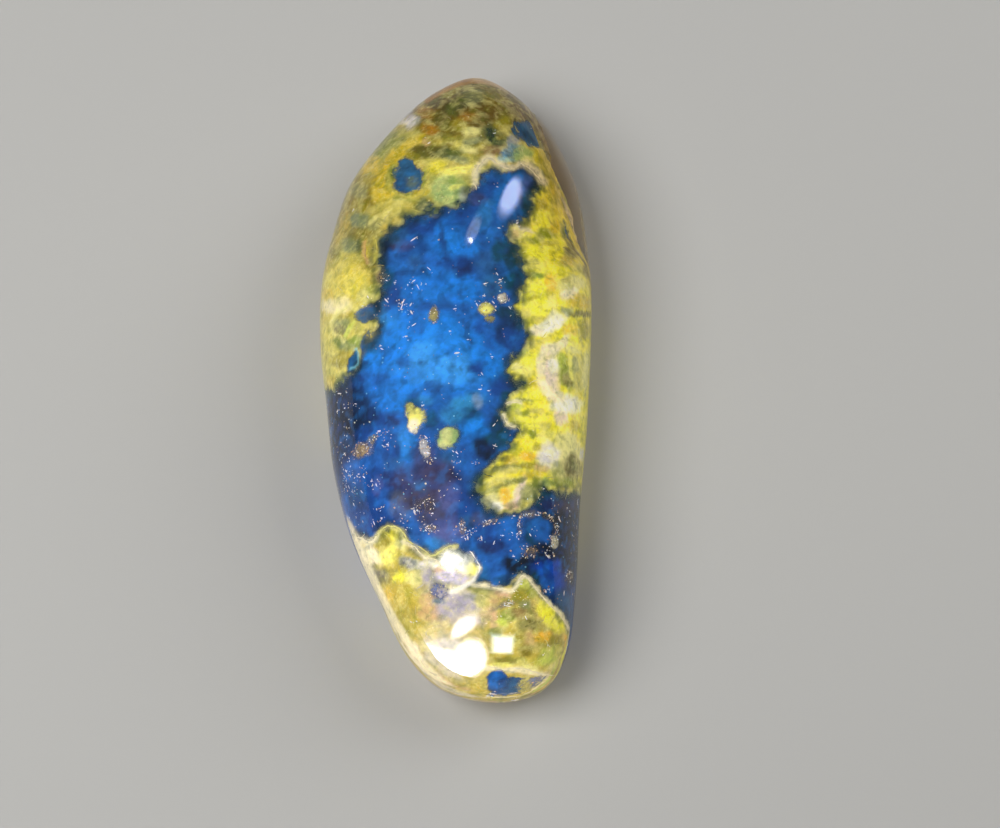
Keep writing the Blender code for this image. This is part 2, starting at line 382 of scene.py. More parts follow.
# Soft patches: x, y, half width, half height, turn in degrees, colour, strength. Those of the
# crusts come first, cap to tapered end, then those of the blue field.
CRUST_SPOTS = [
    (475, 100, 92, 50, 0, OLIVE, 1.0), (475, 95, 84, 40, 0, UMBER, 0.8), (362, 222, 34, 44, 10, OLIVE, 0.6),
    (508, 102, 34, 22, 20, UMBER, 0.75),
    (450, 93, 12, 5, -25, KHAKI, 0.8), (435, 104, 11, 7, -30, DARK_OLIVE, 0.9),
    (471, 99, 14, 10, -10, SAGE, 0.9), (455, 108, 13, 7, -25, FOREST, 0.8),
    (492, 98, 11, 9, 0, KHAKI, 0.45), (426, 113, 10, 7, 30, AMBER_BROWN, 0.8),
    (431, 131, 9, 6, 10, AMBER_BROWN, 1.0), (442, 122, 9, 8, 0, DARK_OLIVE, 0.7),
    (468, 118, 10, 4, -10, AMBER_BROWN, 0.8), (459, 126, 8, 7, 0, KHAKI, 0.9),
    (470, 133, 9, 4, 5, PALE_STRAW, 0.95), (472, 142, 9, 4, 0, SAGE, 0.8),
    (467, 150, 9, 5, 10, PALE_STRAW, 1.0), (459, 145, 5, 4, 0, STRAW, 0.8),
    (501, 124, 9, 7, -30, KHAKI, 0.95), (504, 131, 5, 4, 0, STRAW, 0.6),
    (489, 137, 8, 10, 0, FOREST, 0.9), (500, 144, 10, 5, 0, FOREST, 0.9),
    (495, 151, 13, 5, 0, BROWN, 0.85), (511, 141, 7, 6, 0, MIST, 0.85),
    (509, 152, 10, 6, -25, SEA, 0.9), (505, 160, 9, 4, 0, CYAN, 0.8),
    (545, 136, 7, 9, 10, FOREST, 0.7), (551, 147, 5, 7, 0, FOREST, 0.7),
    (520, 154, 10, 7, 0, PALE_GREEN, 0.9), (526, 161, 8, 4, 25, PALE_STRAW, 0.9),
    (475, 92, 70, 30, 0, UMBER, 0.35), (350, 208, 26, 44, 15, UMBER, 0.4),
    (390, 147, 22, 12, -40, GREEN, 0.7), (409, 135, 12, 6, -10, STRAW, 0.6),
    (398, 156, 26, 6, -40, GOLD, 1.0), (415, 143, 13, 5, -30, GOLD, 1.0),
    (428, 152, 20, 7, -5, DARK_OLIVE, 0.95), (447, 154, 13, 7, 0, FOREST, 0.8),
    (413, 158, 8, 5, 0, KHAKI, 0.8), (458, 161, 12, 4, 10, SAGE, 0.8), (427, 143, 5, 4, 0, TAN, 0.8),
    (411, 122, 10, 7, 0, PEARL, 1.0), (408, 114, 7, 4, 0, FOG, 0.8),
    (372, 166, 11, 7, -40, GOLD, 0.9), (382, 174, 12, 8, -35, GOLD, 0.95),
    (368, 183, 11, 9, 0, KHAKI, 0.8), (360, 192, 9, 9, 0, SAGE, 0.5),
    (384, 192, 13, 11, 0, GOLD, 0.85), (392, 205, 15, 8, -10, STRAW, 0.7),
    (378, 214, 12, 9, 0, STRAW, 0.55), (397, 190, 6, 5, 0, LEMON, 0.4),
    (436, 169, 10, 6, -10, LEMON, 0.65), (455, 173, 15, 4.5, -8, BUTTER, 1.0),
    (446, 189, 18, 14, -5, PALE_GREEN, 1.0), (451, 182, 7, 5, 0, LEAF, 0.7),
    (456, 189, 7, 3, -15, BUTTER, 0.6), (449, 201, 14, 7, -10, PALE_GREEN, 0.9),
    (464, 196, 5, 8, -30, MIST, 0.6), (426, 207, 12, 7, 10, FOREST, 1.0),
    (391, 177, 4, 12, 12, GREEN, 0.9), (407, 198, 14, 4, 5, GREEN, 0.8), (424, 181, 4, 10, 0, GREEN, 0.7),
    (421, 195, 10, 4, -25, GOLD, 0.9), (362, 207, 10, 8, 0, KHAKI, 0.7),
    (360, 221, 11, 9, 0, SAGE, 1.0), (355, 233, 14, 6, 0, OLIVE, 0.9), (346, 222, 6, 12, 0, HONEY, 0.7),
    (374, 226, 8, 6, 0, SAGE, 0.5), (375, 221, 2.5, 7, 30, PALE_STRAW, 0.8),
    (340, 236, 6, 10, 0, HONEY, 0.7), (386, 229, 5, 6, 0, HONEY, 0.8), (372, 240, 8, 9, 0, OLIVE, 0.9),
    (352, 247, 9, 9, 0, SAGE, 0.9), (348, 257, 9, 4, 0, STRAW, 0.7), (366, 252, 3, 11, 0, GOLD, 0.8),
    (375, 250, 2.5, 12, 5, HONEY, 0.8), (336, 255, 7, 7, 0, OLIVE, 0.8), (361, 247, 4, 9, 0, FOREST, 0.7),
    (371, 263, 7, 6, 0, DARK_OLIVE, 1.0), (376, 280, 6, 12, 0, OLIVE, 0.7),
    (350, 280, 20, 17, 0, GOLD, 0.75), (353, 284, 12, 12, 0, LEMON, 0.45), (345, 268, 12, 6, 0, STRAW, 0.6),
    (334, 280, 6, 10, 0, STRAW, 0.8), (372, 291, 9, 8, 0, GREEN, 0.7), (367, 297, 9, 5, 0, PALE_STRAW, 0.8),
    (329, 295, 6, 6, 0, ORANGE, 0.5), (337, 306, 15, 8, -5, CREAM, 1.0), (345, 303, 8, 5, 0, IVORY, 0.9),
    (344, 325, 10, 9, -35, SAGE, 0.9), (340, 330, 6, 6, 0, BROWN, 0.4), (350, 330, 11, 3, -62, LIME, 1.0),
    (340, 343, 8, 7, 0, MOSS, 0.95), (356, 342, 11, 5, -20, LEAF, 0.85), (349, 347, 8, 6, 0, SAGE, 0.8),
    (330, 335, 4, 16, 0, STRAW, 0.9), (340, 359, 9, 8, 0, KHAKI, 0.8), (338, 365, 4, 5, 0, OLIVE, 0.9),
    (343, 374, 5, 4, 0, STRAW, 0.9), (334, 350, 6, 6, 0, STRAW, 0.6), (368, 346, 8, 10, 20, TEAL, 0.8),
    (332, 386, 4, 6, 0, HONEY, 0.8),
    (543, 250, 26, 28, 0, SUN, 0.9), (540, 310, 20, 26, 0, SUN, 0.5), (532, 425, 26, 26, 0, SUN, 0.5),
    (565, 458, 18, 24, 0, PEARL, 0.4), (345, 285, 26, 24, 0, BRASS, 0.5),
    (558, 186, 8, 24, -12, KHAKI, 0.7), (547, 172, 11, 24, -12, BRASS, 0.8),
    (547, 172, 9, 22, -12, GOLD, 0.7), (556, 191, 7, 12, 0, GOLD, 0.9), (554, 201, 7, 7, 0, STRAW, 0.8),
    (546, 170, 12, 24, -12, GREEN, 0.4), (565, 157, 5, 14, -20, OLIVE, 0.8),
    (566, 200, 5, 16, -5, BROWN, 0.6), (572, 200, 5, 40, -12, TAN, 0.6),
    (562, 229, 4, 12, 0, MOSS, 0.9), (573, 238, 6, 11, 0, SMOKE, 0.7), (571, 253, 9, 8, 20, OLIVE, 0.9),
    (537, 207, 9, 6, 0, KHAKI, 0.7), (541, 218, 13, 8, 0, SUN, 1.0), (551, 212, 5, 4, 0, KHAKI, 0.4),
    (544, 235, 9, 6, 0, GREEN, 0.85), (532, 241, 11, 3.5, 0, GREEN, 0.75), (552, 227, 6, 8, 0, GOLD, 0.7),
    (515, 235, 10, 7, -10, PALE_STRAW, 1.0), (513, 236, 5, 4, 0, TAN, 0.6),
    (523, 230, 10, 3, 20, CREAM, 0.9),
    (536, 254, 18, 9, 0, SUN, 1.0), (553, 262, 9, 10, 0, LEMON, 0.9), (531, 265, 11, 5, 0, BUTTER, 0.9),
    (537, 276, 8, 4, 0, LEAF, 0.9), (536, 291, 11, 11, 0, SUN, 0.8), (549, 284, 6, 9, 0, ORANGE, 0.6),
    (549, 295, 6, 5, 40, KHAKI, 0.5), (567, 263, 8, 6, 0, HONEY, 0.9), (577, 270, 9, 6, 40, STRAW, 0.9),
    (586, 272, 5, 9, 0, OLIVE, 0.9), (570, 285, 15, 8, 0, PALE_STRAW, 0.95),
    (568, 294, 9, 6, 0, IVORY, 0.95),
    (564, 280, 5, 3, 0, KHAKI, 0.6), (580, 302, 13, 8, 0, GOLD, 1.0), (538, 308, 13, 10, 0, SUN, 0.95),
    (553, 303, 5, 9, 0, BUTTER, 0.9), (566, 311, 8, 5, 0, SAGE, 0.85), (581, 314, 12, 3.5, 5, OLIVE, 1.0),
    (523, 316, 7, 7, 0, STRAW, 0.8), (540, 320, 9, 5, 0, STRAW, 0.8), (547, 327, 15, 6, -28, WHITE, 1.0),
    (536, 332, 9, 5, 0, IVORY, 0.9), (567, 335, 11, 10, 0, SUN, 0.9), (568, 331, 8, 7, 0, ORANGE, 0.5),
    (583, 330, 7, 11, 0, KHAKI, 0.8), (571, 346, 8, 5, 0, BUTTER, 0.9),
    (529, 346, 10, 5, -20, STRAW, 0.8), (522, 353, 6, 4, -20, LEAF, 0.8), (531, 362, 13, 9, -30, SUN, 1.0),
    (523, 373, 10, 6, 0, BUTTER, 0.9), (515, 368, 5, 5, 0, PALE_STRAW, 0.8),
    (551, 351, 10, 7, 0, IVORY, 1.0), (548, 376, 11, 22, -5, SHELL, 1.0), (554, 366, 6, 9, 0, WHITE, 0.8),
    (541, 384, 4, 15, -12, BUTTER, 0.7), (577, 375, 8, 22, 0, STRAW, 0.9), (573, 366, 5, 9, 0, SAGE, 0.7),
    (585, 372, 4, 22, 0, PALE_STRAW, 0.9), (570, 351, 10, 4, 0, PALE_STRAW, 0.9),
    (565, 374, 8, 17, -6, GREEN, 0.95), (567, 380, 5, 8, 0, OLIVE, 0.9), (561, 360, 4, 8, 0, LIME, 0.8),
    (565, 404, 15, 9, -8, WHITE, 1.0), (556, 398, 8, 5, 25, IVORY, 0.9), (560, 418, 7, 7, 0, SHELL, 0.9),
    (520, 390, 7, 5, 0, OLIVE, 0.8), (530, 397, 11, 9, 0, SUN, 0.8), (514, 406, 10, 5, -5, LIME, 0.8),
    (522, 413, 9, 3, 0, GREEN, 0.8), (518, 421, 10, 5, 0, SUN, 0.7), (536, 412, 8, 4, 0, STRAW, 0.8),
    (529, 425, 12, 5, 0, SUN, 1.0), (531, 434, 6, 4, 0, GREEN, 0.9), (544, 426, 6, 5, 0, STRAW, 0.8),
    (546, 436, 12, 5, 0, BUTTER, 0.9), (566, 438, 11, 5, 5, PALE_STRAW, 0.9),
    (575, 425, 6, 6, 0, HONEY, 0.8),
    (521, 443, 10, 6, 0, LEMON, 0.9), (512, 447, 6, 4, 0, LIME, 0.8), (527, 457, 8, 5, 0, ORANGE, 0.8),
    (547, 456, 11, 13, 0, PEARL, 1.0), (550, 452, 6, 6, 0, WHITE, 0.9),
    (568, 446, 10, 6, 0, PALE_STRAW, 0.8),
    (571, 468, 10, 15, 0, OLIVE, 1.0), (569, 465, 6, 9, 0, DARK_OLIVE, 0.8),
    # The small pearl patch at (581, 455) is a painted glint.
    (581, 455, 3, 6, 0, PEARL, 0.8),
    (511, 463, 8, 6, 0, GOLD, 1.0), (503, 460, 8, 3, 20, OLIVE, 0.8), (516, 468, 5, 4, 0, GREEN, 0.8),
    (528, 466, 11, 3.5, 0, OLIVE, 0.75), (541, 469, 7, 4, 0, TAN, 0.8),
    (507, 472, 11, 3.5, -15, STRAW, 0.9),
    (530, 475, 14, 5, 0, GOLD, 0.8), (500, 483, 16, 6, -10, STRAW, 0.95), (495, 490, 12, 6, 0, STRAW, 0.7),
    (505, 497, 6, 9, 10, ORANGE, 0.85), (490, 501, 9, 7, 0, MIST, 0.6), (495, 507, 9, 5, 0, WHITE, 1.0),
    (518, 493, 6, 16, 18, SHELL, 1.0), (511, 507, 6, 5, 0, PEACH, 0.9), (528, 493, 8, 9, 0, SAGE, 0.9),
    (537, 485, 8, 7, 0, MOSS, 0.9), (546, 482, 7, 6, 0, PALE_GREEN, 0.8), (562, 483, 14, 6, 0, GREEN, 0.8),
    (552, 474, 7, 4, 0, STRAW, 0.7), (478, 482, 9, 7, 0, FOREST, 0.95), (487, 475, 7, 4, 0, OLIVE, 0.8),
    (560, 344, 13, 4.5, -35, IVORY, 0.9), (541, 362, 5, 16, 8, CREAM, 0.9),
    (546, 391, 6, 10, -30, IVORY, 0.9),
    (573, 249, 14, 8, 50, DARK_OLIVE, 0.8), (552, 322, 13, 8, -30, WHITE, 0.8),
    (568, 410, 10, 7, 0, WHITE, 0.9),
    (500, 470, 14, 3, -15, FOREST, 0.8), (490, 492, 8, 4, -10, MOSS, 0.8),
    (514, 481, 12, 2.5, -10, MOSS, 0.8),
    (522, 502, 4, 8, 20, FOREST, 0.7), (500, 487, 12, 2, -12, FOREST, 0.6),
    (485, 486, 6, 5, 0, FOREST, 0.5),
    (535, 447, 5, 4, 0, KHAKI, 0.6), (556, 470, 5, 8, 0, MOSS, 0.6), (545, 245, 8, 3, 0, OLIVE, 0.5),
    (533, 300, 7, 3, -20, KHAKI, 0.5), (545, 340, 8, 3, -30, STRAW, 0.6), (524, 340, 5, 6, 0, OLIVE, 0.5),
    (530, 383, 6, 4, 0, KHAKI, 0.6), (524, 402, 9, 2, 0, MOSS, 0.7), (515, 437, 8, 2.5, -10, MOSS, 0.6),
    (458, 600, 38, 26, 10, FOG, 0.65), (436, 578, 22, 16, 0, LILAC, 0.5),
    (458, 602, 24, 14, 0, LAVENDER, 0.5), (540, 625, 26, 28, 0, SAGE, 0.35),
    (402, 605, 26, 24, 0, BRASS, 0.4),
    (392, 533, 12, 7, 25, LEMON, 0.7), (384, 541, 8, 6, 0, KHAKI, 0.8), (372, 555, 14, 9, 22, IVORY, 1.0),
    (390, 556, 10, 10, 0, BUTTER, 0.95), (395, 545, 6, 7, 0, BUTTER, 0.9),
    (402, 546, 9, 5, 40, PALE_STRAW, 0.9),
    (421, 553, 12, 4, 25, TAN, 0.7), (378, 574, 13, 8, 30, SMOKE, 0.95), (386, 581, 8, 5, 0, OLIVE, 0.5),
    (408, 563, 9, 6, 0, STEEL, 0.6), (418, 565, 11, 5, 15, PEARL, 0.8), (402, 578, 9, 7, 0, SUN, 0.8),
    (400, 586, 13, 6, 0, HONEY, 0.8), (417, 577, 9, 8, 0, PALE_STRAW, 0.8),
    (390, 598, 11, 9, 0, ORANGE, 0.5),
    (405, 606, 14, 13, 0, HONEY, 1.0), (398, 618, 9, 11, 0, KHAKI, 0.6), (408, 630, 10, 8, 0, KHAKI, 0.9),
    (427, 598, 9, 6, 0, TAN, 0.8), (429, 612, 14, 9, 0, TAN, 1.0), (420, 626, 9, 6, 0, HONEY, 0.8),
    (448, 559, 21, 13, 5, WHITE, 1.0), (465, 563, 9, 14, -25, WHITE, 1.0), (473, 568, 8, 8, 0, BUTTER, 0.8),
    (440, 571, 6, 4, 0, PEACH, 0.9), (448, 576, 13, 7, 0, LAVENDER, 1.0),
    (461, 581, 10, 7, 0, LAVENDER, 0.9),
    (428, 576, 7, 9, 0, FOG, 0.9), (455, 590, 10, 4, 0, IVORY, 0.9), (442, 601, 8, 3, 0, STEEL, 0.8),
    (464, 601, 18, 9, 0, FOG, 1.0), (450, 611, 14, 7, 0, FOG, 0.8), (478, 591, 12, 4, 5, STRAW, 0.8),
    (483, 601, 10, 8, 0, STRAW, 0.7), (495, 599, 9, 5, 0, TAN, 0.95), (503, 594, 9, 4, 12, PEACH, 1.0),
    (488, 612, 10, 7, 0, TAN, 0.6), (495, 620, 5, 10, 12, PEACH, 0.9), (505, 605, 12, 3, -22, SMOKE, 0.9),
    (518, 597, 7, 6, 0, KHAKI, 0.9), (522, 584, 7, 6, 0, LIME, 0.8), (530, 592, 7, 6, 0, GREEN, 0.8),
    (508, 616, 10, 7, 0, GREEN, 1.0), (502, 623, 6, 4, 0, LIME, 0.9), (495, 632, 7, 5, 0, MOSS, 0.8),
    (525, 604, 8, 5, 0, SAGE, 0.8), (519, 613, 8, 6, 0, BROWN, 0.7), (527, 624, 10, 7, 0, DARK_OLIVE, 1.0),
    (537, 609, 6, 10, -30, TAN, 0.9), (546, 613, 8, 17, -40, SUN, 0.9), (554, 622, 9, 14, -30, SUN, 0.9),
    (565, 630, 5, 8, -10, STRAW, 0.9), (540, 637, 10, 6, 0, ORANGE, 0.85), (529, 638, 5, 9, 0, TAN, 0.8),
    (525, 649, 7, 6, 0, OLIVE, 0.9), (518, 640, 5, 6, 0, KHAKI, 0.8), (566, 637, 8, 4, 0, ORANGE, 0.8),
    (555, 642, 11, 4, 30, KHAKI, 0.8), (548, 656, 15, 9, -28, LIME, 0.95), (557, 652, 8, 6, 0, STRAW, 0.7),
    (553, 666, 11, 4, -20, PALE_STRAW, 0.8), (508, 658, 14, 4, 5, OLIVE, 0.9),
    (500, 664, 12, 3, 0, BUTTER, 0.8),
    (523, 661, 7, 5, 0, STRAW, 0.8), (531, 667, 10, 3, 18, PALE_STRAW, 0.8),
    (417, 652, 6, 14, -38, IVORY, 0.9), (442, 680, 18, 5, 25, PEACH, 0.8),
    # The pearl patch at (450, 655) lies under the end glare and is a painted highlight.
    (450, 655, 30, 20, 25, PEARL, 0.6),
    (461, 690, 22, 6, 10, TAN, 0.95), (478, 687, 7, 5, 0, GOLD, 0.5),
]
FIELD_SPOTS = [
    (408, 178, 26, 26, 0, STEEL, 1.0), (412, 182, 7, 6, 0, SAGE, 0.6), (402, 184, 8, 8, 0, NAVY, 0.3),
    (534, 134, 34, 22, 15, STEEL, 1.0), (537, 128, 12, 8, 0, SEA, 0.35),
    (490, 136, 12, 14, 0, DARK_TEAL, 1.0),
    (565, 229, 12, 18, 0, STEEL, 0.7), (354, 361, 12, 14, 0, STEEL, 1.0), (440, 592, 22, 14, 0, LILAC, 0.7),
    (500, 680, 26, 18, 8, BLUE, 1.0), (520, 685, 16, 12, 0, STEEL, 0.9), (540, 682, 18, 10, -12, FOG, 0.6),
    (455, 265, 80, 60, 0, BLUE, 0.6), (420, 222, 24, 14, -8, DEEP_BLUE, 0.9),
    (457, 212, 20, 9, -8, DEEP_BLUE, 0.8),
    (490, 190, 18, 14, -35, DEEP_BLUE, 0.6), (487, 172, 9, 8, 0, BLUE, 0.7),
    (478, 199, 10, 6, 0, DUSK, 0.6),
    (508, 196, 14, 22, 20, AZURE, 0.5), (525, 190, 8, 16, 10, LILAC, 0.6), (534, 187, 8, 8, 0, INK, 0.8),
    (528, 205, 6, 14, 0, TEAL, 0.8), (484, 215, 8, 16, 20, SEA, 0.35), (449, 240, 16, 20, 0, AZURE, 0.75),
    (443, 240, 3, 16, -8, NAVY, 0.7), (466, 248, 14, 9, 0, AZURE, 0.6),
    (460, 226, 18, 6, 0, DEEP_BLUE, 0.5),
    (388, 244, 14, 9, 0, INK, 0.95), (402, 246, 12, 6, 0, DUSK, 0.7), (383, 256, 7, 12, 0, INK, 0.8),
    (397, 235, 12, 8, -20, STEEL, 0.5), (397, 262, 14, 12, 0, BLUE, 0.7), (416, 262, 8, 10, 0, STEEL, 0.5),
    (386, 280, 8, 14, 0, TEAL, 0.8), (393, 295, 9, 9, 0, DEEP_BLUE, 0.9), (418, 266, 9, 8, 0, NAVY, 0.35),
    (462, 266, 15, 7, 0, NAVY, 0.9), (458, 274, 8, 6, 0, NAVY, 0.6), (455, 262, 20, 6, 0, DEEP_BLUE, 0.6),
    (430, 285, 26, 18, 0, AZURE, 0.6), (465, 290, 20, 14, 0, AZURE, 0.75),
    (408, 300, 12, 10, 0, AZURE, 0.4),
    # The teal and ink patches from here to (508, 326), along the field's right edge beside the yellow flank,
    # are painted shade under the flank's raised edge.
    (487, 262, 12, 14, 0, STEEL, 0.5), (500, 250, 9, 14, 0, TEAL, 0.9),
    (512, 256, 8, 12, 0, DARK_TEAL, 0.9),
    (494, 285, 14, 12, 0, STEEL, 0.8), (514, 282, 10, 14, 0, TEAL, 1.0), (516, 290, 6, 8, 0, INK, 0.5),
    (505, 312, 10, 6, 0, DARK_TEAL, 0.8), (508, 326, 14, 10, 15, INK, 0.75),
    (514, 338, 16, 10, 10, DEEP_BLUE, 0.9),
    (500, 342, 14, 8, 0, DEEP_BLUE, 0.8), (464, 316, 9, 10, 0, BLUE, 0.8),
    (475, 330, 9, 9, 0, DEEP_BLUE, 0.6),
    (365, 316, 12, 9, 0, STEEL, 1.0), (372, 330, 8, 9, 0, SMOKE, 0.5), (378, 318, 10, 12, 0, STEEL, 0.7),
    (371, 346, 8, 12, 0, TEAL, 0.9), (384, 330, 16, 14, -25, SEA, 0.4),
    (398, 316, 12, 12, 0, BRIGHT_AZURE, 0.4),
    (420, 342, 52, 26, -12, AZURE, 1.0), (430, 365, 70, 34, -5, AZURE, 1.0),
    (445, 350, 30, 22, 0, BRIGHT_AZURE, 0.9),
    (440, 372, 40, 14, 5, SKY, 0.6), (420, 352, 14, 10, -20, SKY, 0.6), (458, 362, 14, 9, 0, SKY, 0.5),
    (372, 386, 22, 16, -20, BLUE, 0.9), (382, 393, 24, 10, 0, AZURE, 0.5),
    (356, 384, 9, 14, 0, DEEP_BLUE, 0.9),
    (415, 375, 12, 7, 0, BLUE, 0.4), (405, 362, 9, 6, 0, BLUE, 0.5), (418, 328, 9, 7, 0, BLUE, 0.6),
    (437, 388, 16, 6, 0, BLUE, 0.7), (478, 368, 11, 7, 10, DEEP_BLUE, 0.95),
    (493, 365, 12, 14, 0, AZURE, 0.8),
    (503, 388, 14, 9, 0, DEEP_BLUE, 0.95), (516, 387, 8, 6, 0, INK, 0.8), (507, 402, 8, 10, 0, TEAL, 0.9),
    (467, 402, 18, 9, -15, SEA, 0.9), (477, 401, 6, 7, 0, MIST, 0.5), (468, 416, 14, 8, 0, TEAL, 0.8),
    (452, 415, 14, 9, 0, SEA, 0.7), (478, 428, 18, 12, 0, AZURE, 0.95), (492, 415, 8, 16, 0, BLUE, 0.8),
    (485, 448, 13, 14, 0, INK, 0.95), (500, 438, 13, 10, 0, TEAL, 1.0),
    (497, 425, 7, 10, 0, DARK_TEAL, 0.9),
    (425, 400, 9, 6, 0, SEA, 0.6), (431, 420, 7, 10, 0, TEAL, 0.8), (392, 404, 14, 9, 0, AZURE, 0.9),
    (412, 404, 8, 8, 0, TEAL, 0.8), (391, 421, 10, 6, 0, NAVY, 0.9), (377, 420, 9, 10, 0, DEEP_BLUE, 0.8),
    (350, 412, 26, 30, 0, INK, 0.85), (338, 405, 14, 24, 0, INK, 0.7), (345, 440, 20, 34, 0, INK, 0.75),
    (336, 460, 10, 40, -8, INK, 0.7), (365, 435, 12, 9, 0, DEEP_BLUE, 0.7),
    (408, 452, 10, 26, -6, AZURE, 1.0), (404, 440, 6, 14, 0, SKY, 0.35),
    (390, 450, 10, 12, 0, DEEP_BLUE, 0.7),
    (375, 460, 14, 12, 0, BLUE, 0.8), (357, 470, 14, 14, 0, BLUE, 0.95), (393, 465, 12, 8, 0, STEEL, 0.5),
    (380, 480, 22, 10, 0, DEEP_BLUE, 0.8), (395, 478, 16, 8, 0, NAVY, 0.8), (418, 470, 14, 8, 0, BLUE, 0.5),
    (372, 495, 9, 16, 0, DEEP_BLUE, 0.8), (377, 487, 5, 10, 0, LILAC, 0.5),
    (356, 495, 10, 14, 0, DARK_TEAL, 0.6),
    (362, 515, 12, 12, 0, NAVY, 0.7), (380, 520, 16, 14, 0, DEEP_BLUE, 0.95),
    (388, 500, 10, 12, 0, BLUE, 0.7),
    (402, 494, 14, 10, 0, INK, 0.7), (400, 505, 12, 14, 0, SMOKE, 0.4), (425, 455, 14, 12, 0, DUSK, 0.7),
    (430, 475, 16, 12, 0, NAVY, 0.8), (448, 478, 14, 10, 0, INK, 0.95), (440, 466, 16, 8, 0, DUSK, 0.8),
    (447, 457, 12, 6, 0, STEEL, 0.6), (430, 500, 28, 14, 0, UMBER_GREY, 0.9),
    (425, 480, 34, 18, 0, DUSK, 0.75), (420, 486, 9, 8, 0, STEEL, 0.5),
    (460, 495, 14, 16, 0, DEEP_BLUE, 0.8), (449, 500, 12, 16, 0, LILAC, 0.7),
    (470, 505, 12, 16, 0, DEEP_BLUE, 0.8),
    (430, 518, 18, 8, 0, UMBER_GREY, 0.8), (413, 530, 9, 12, 0, BLUE, 1.0), (428, 538, 14, 8, 0, BLUE, 0.8),
    (448, 532, 16, 12, 0, LILAC, 0.95), (452, 520, 8, 10, 0, DUSK, 0.6), (470, 522, 10, 8, 0, STEEL, 0.6),
    (436, 545, 12, 6, 0, SEA, 0.4), (478, 520, 9, 8, 0, UMBER_GREY, 0.6),
    (490, 535, 22, 14, 0, DEEP_BLUE, 0.95),
    (505, 530, 12, 12, 0, BLUE, 0.9), (492, 548, 14, 8, 0, NAVY, 0.95), (490, 568, 18, 12, 0, BLUE, 1.0),
    (480, 575, 10, 10, 0, SEA, 0.4), (505, 580, 10, 6, 0, DARK_TEAL, 0.7), (520, 565, 22, 12, 0, INK, 1.0),
    (518, 551, 8, 7, 0, BLUE, 0.9), (533, 552, 11, 8, 0, UMBER_GREY, 0.8), (555, 545, 30, 62, 0, INK, 1.0),
    (574, 530, 12, 50, 0, INK, 0.9), (560, 560, 12, 14, 0, INK, 0.8), (541, 497, 10, 10, 0, TEAL, 1.0),
    (552, 503, 12, 8, 0, NAVY, 0.9), (572, 503, 20, 10, 0, UMBER_GREY, 0.5),
    (528, 514, 9, 5, 0, SMOKE, 0.7), (534, 535, 8, 10, 0, TEAL, 0.8), (541, 530, 11, 12, 0, BLUE, 1.0),
    (549, 577, 17, 18, -10, ROYAL, 1.0), (545, 586, 10, 9, 0, BLUE, 0.6),
    (535, 580, 6, 10, 0, DARK_TEAL, 0.9),
    (565, 608, 10, 16, -15, STEEL, 0.7), (551, 600, 10, 5, 40, DEEP_BLUE, 0.8),
]
# Places where the blue shows through the crust
WINDOW_SPOTS = [
    (408, 180, 17, 14, 0, STEEL, 1.0), (408, 167, 8, 9, 10, STEEL, 1.0),
    (533, 134, 23, 12, 22, STEEL, 0.95),
    (489, 137, 5, 9, 0, STEEL, 0.5), (566, 229, 5, 12, -5, STEEL, 0.7), (354, 361, 5, 9.5, 25, STEEL, 1.0),
    (440, 592, 13, 8, 0, STEEL, 0.6), (497, 680, 12, 10, 0, STEEL, 1.0), (515, 686, 16, 11, 0, STEEL, 0.9),
    (540, 681, 14, 7, -14, STEEL, 0.7), (410, 563, 8, 5, 0, STEEL, 0.5), (367, 314, 13, 9, -15, STEEL, 0.8),
    (369, 342, 9, 12, 20, STEEL, 0.6), (428, 207, 10, 5, 0, STEEL, 0.4), (508, 153, 12, 7, -20, STEEL, 0.4),
]
# Chips of crust that lie in the blue field
CHIP_SPOTS = [
    (486, 309, 10, 7, 10, STRAW, 0.9), (485, 311, 6, 4, -15, BUTTER, 0.8), (489, 319, 7, 5, 0, KHAKI, 0.7),
    (434, 315, 6, 11, 5, HONEY, 0.7), (502, 299, 6, 6, 0, CREAM, 0.7), (384, 277, 7, 6, 0, TAN, 0.4),
    (416, 420, 10, 14, 12, BUTTER, 1.0), (410, 409, 5, 8, -20, STRAW, 0.8), (414, 428, 7, 8, 0, IVORY, 0.9),
    (448, 438, 12, 13, 10, PALE_GREEN, 0.95), (446, 436, 6, 8, 0, PALE_STRAW, 0.6),
    (445, 447, 8, 5, 0, PALE_STRAW, 0.6),
    (362, 450, 13, 9, -20, TAN, 0.6), (374, 438, 9, 5, -45, HONEY, 0.5), (425, 448, 6, 12, -12, PEARL, 0.7),
    (430, 528, 13, 5, 5, TAN, 0.5), (463, 526, 5, 11, 0, PEACH, 0.5), (553, 541, 6, 8, 0, CREAM, 0.6),
    (531, 552, 9, 8, 20, BROWN, 0.6), (548, 516, 9, 5, 15, TAN, 0.4), (520, 528, 4, 12, 0, FOG, 0.4),
    (569, 576, 5, 9, 10, BROWN, 0.6), (525, 684, 9, 9, 0, STRAW, 0.6), (426, 504, 16, 9, 0, BROWN, 0.35),
    (488, 523, 12, 4, -10, TAN, 0.45), (476, 569, 5, 6, 0, BUTTER, 0.8),
]

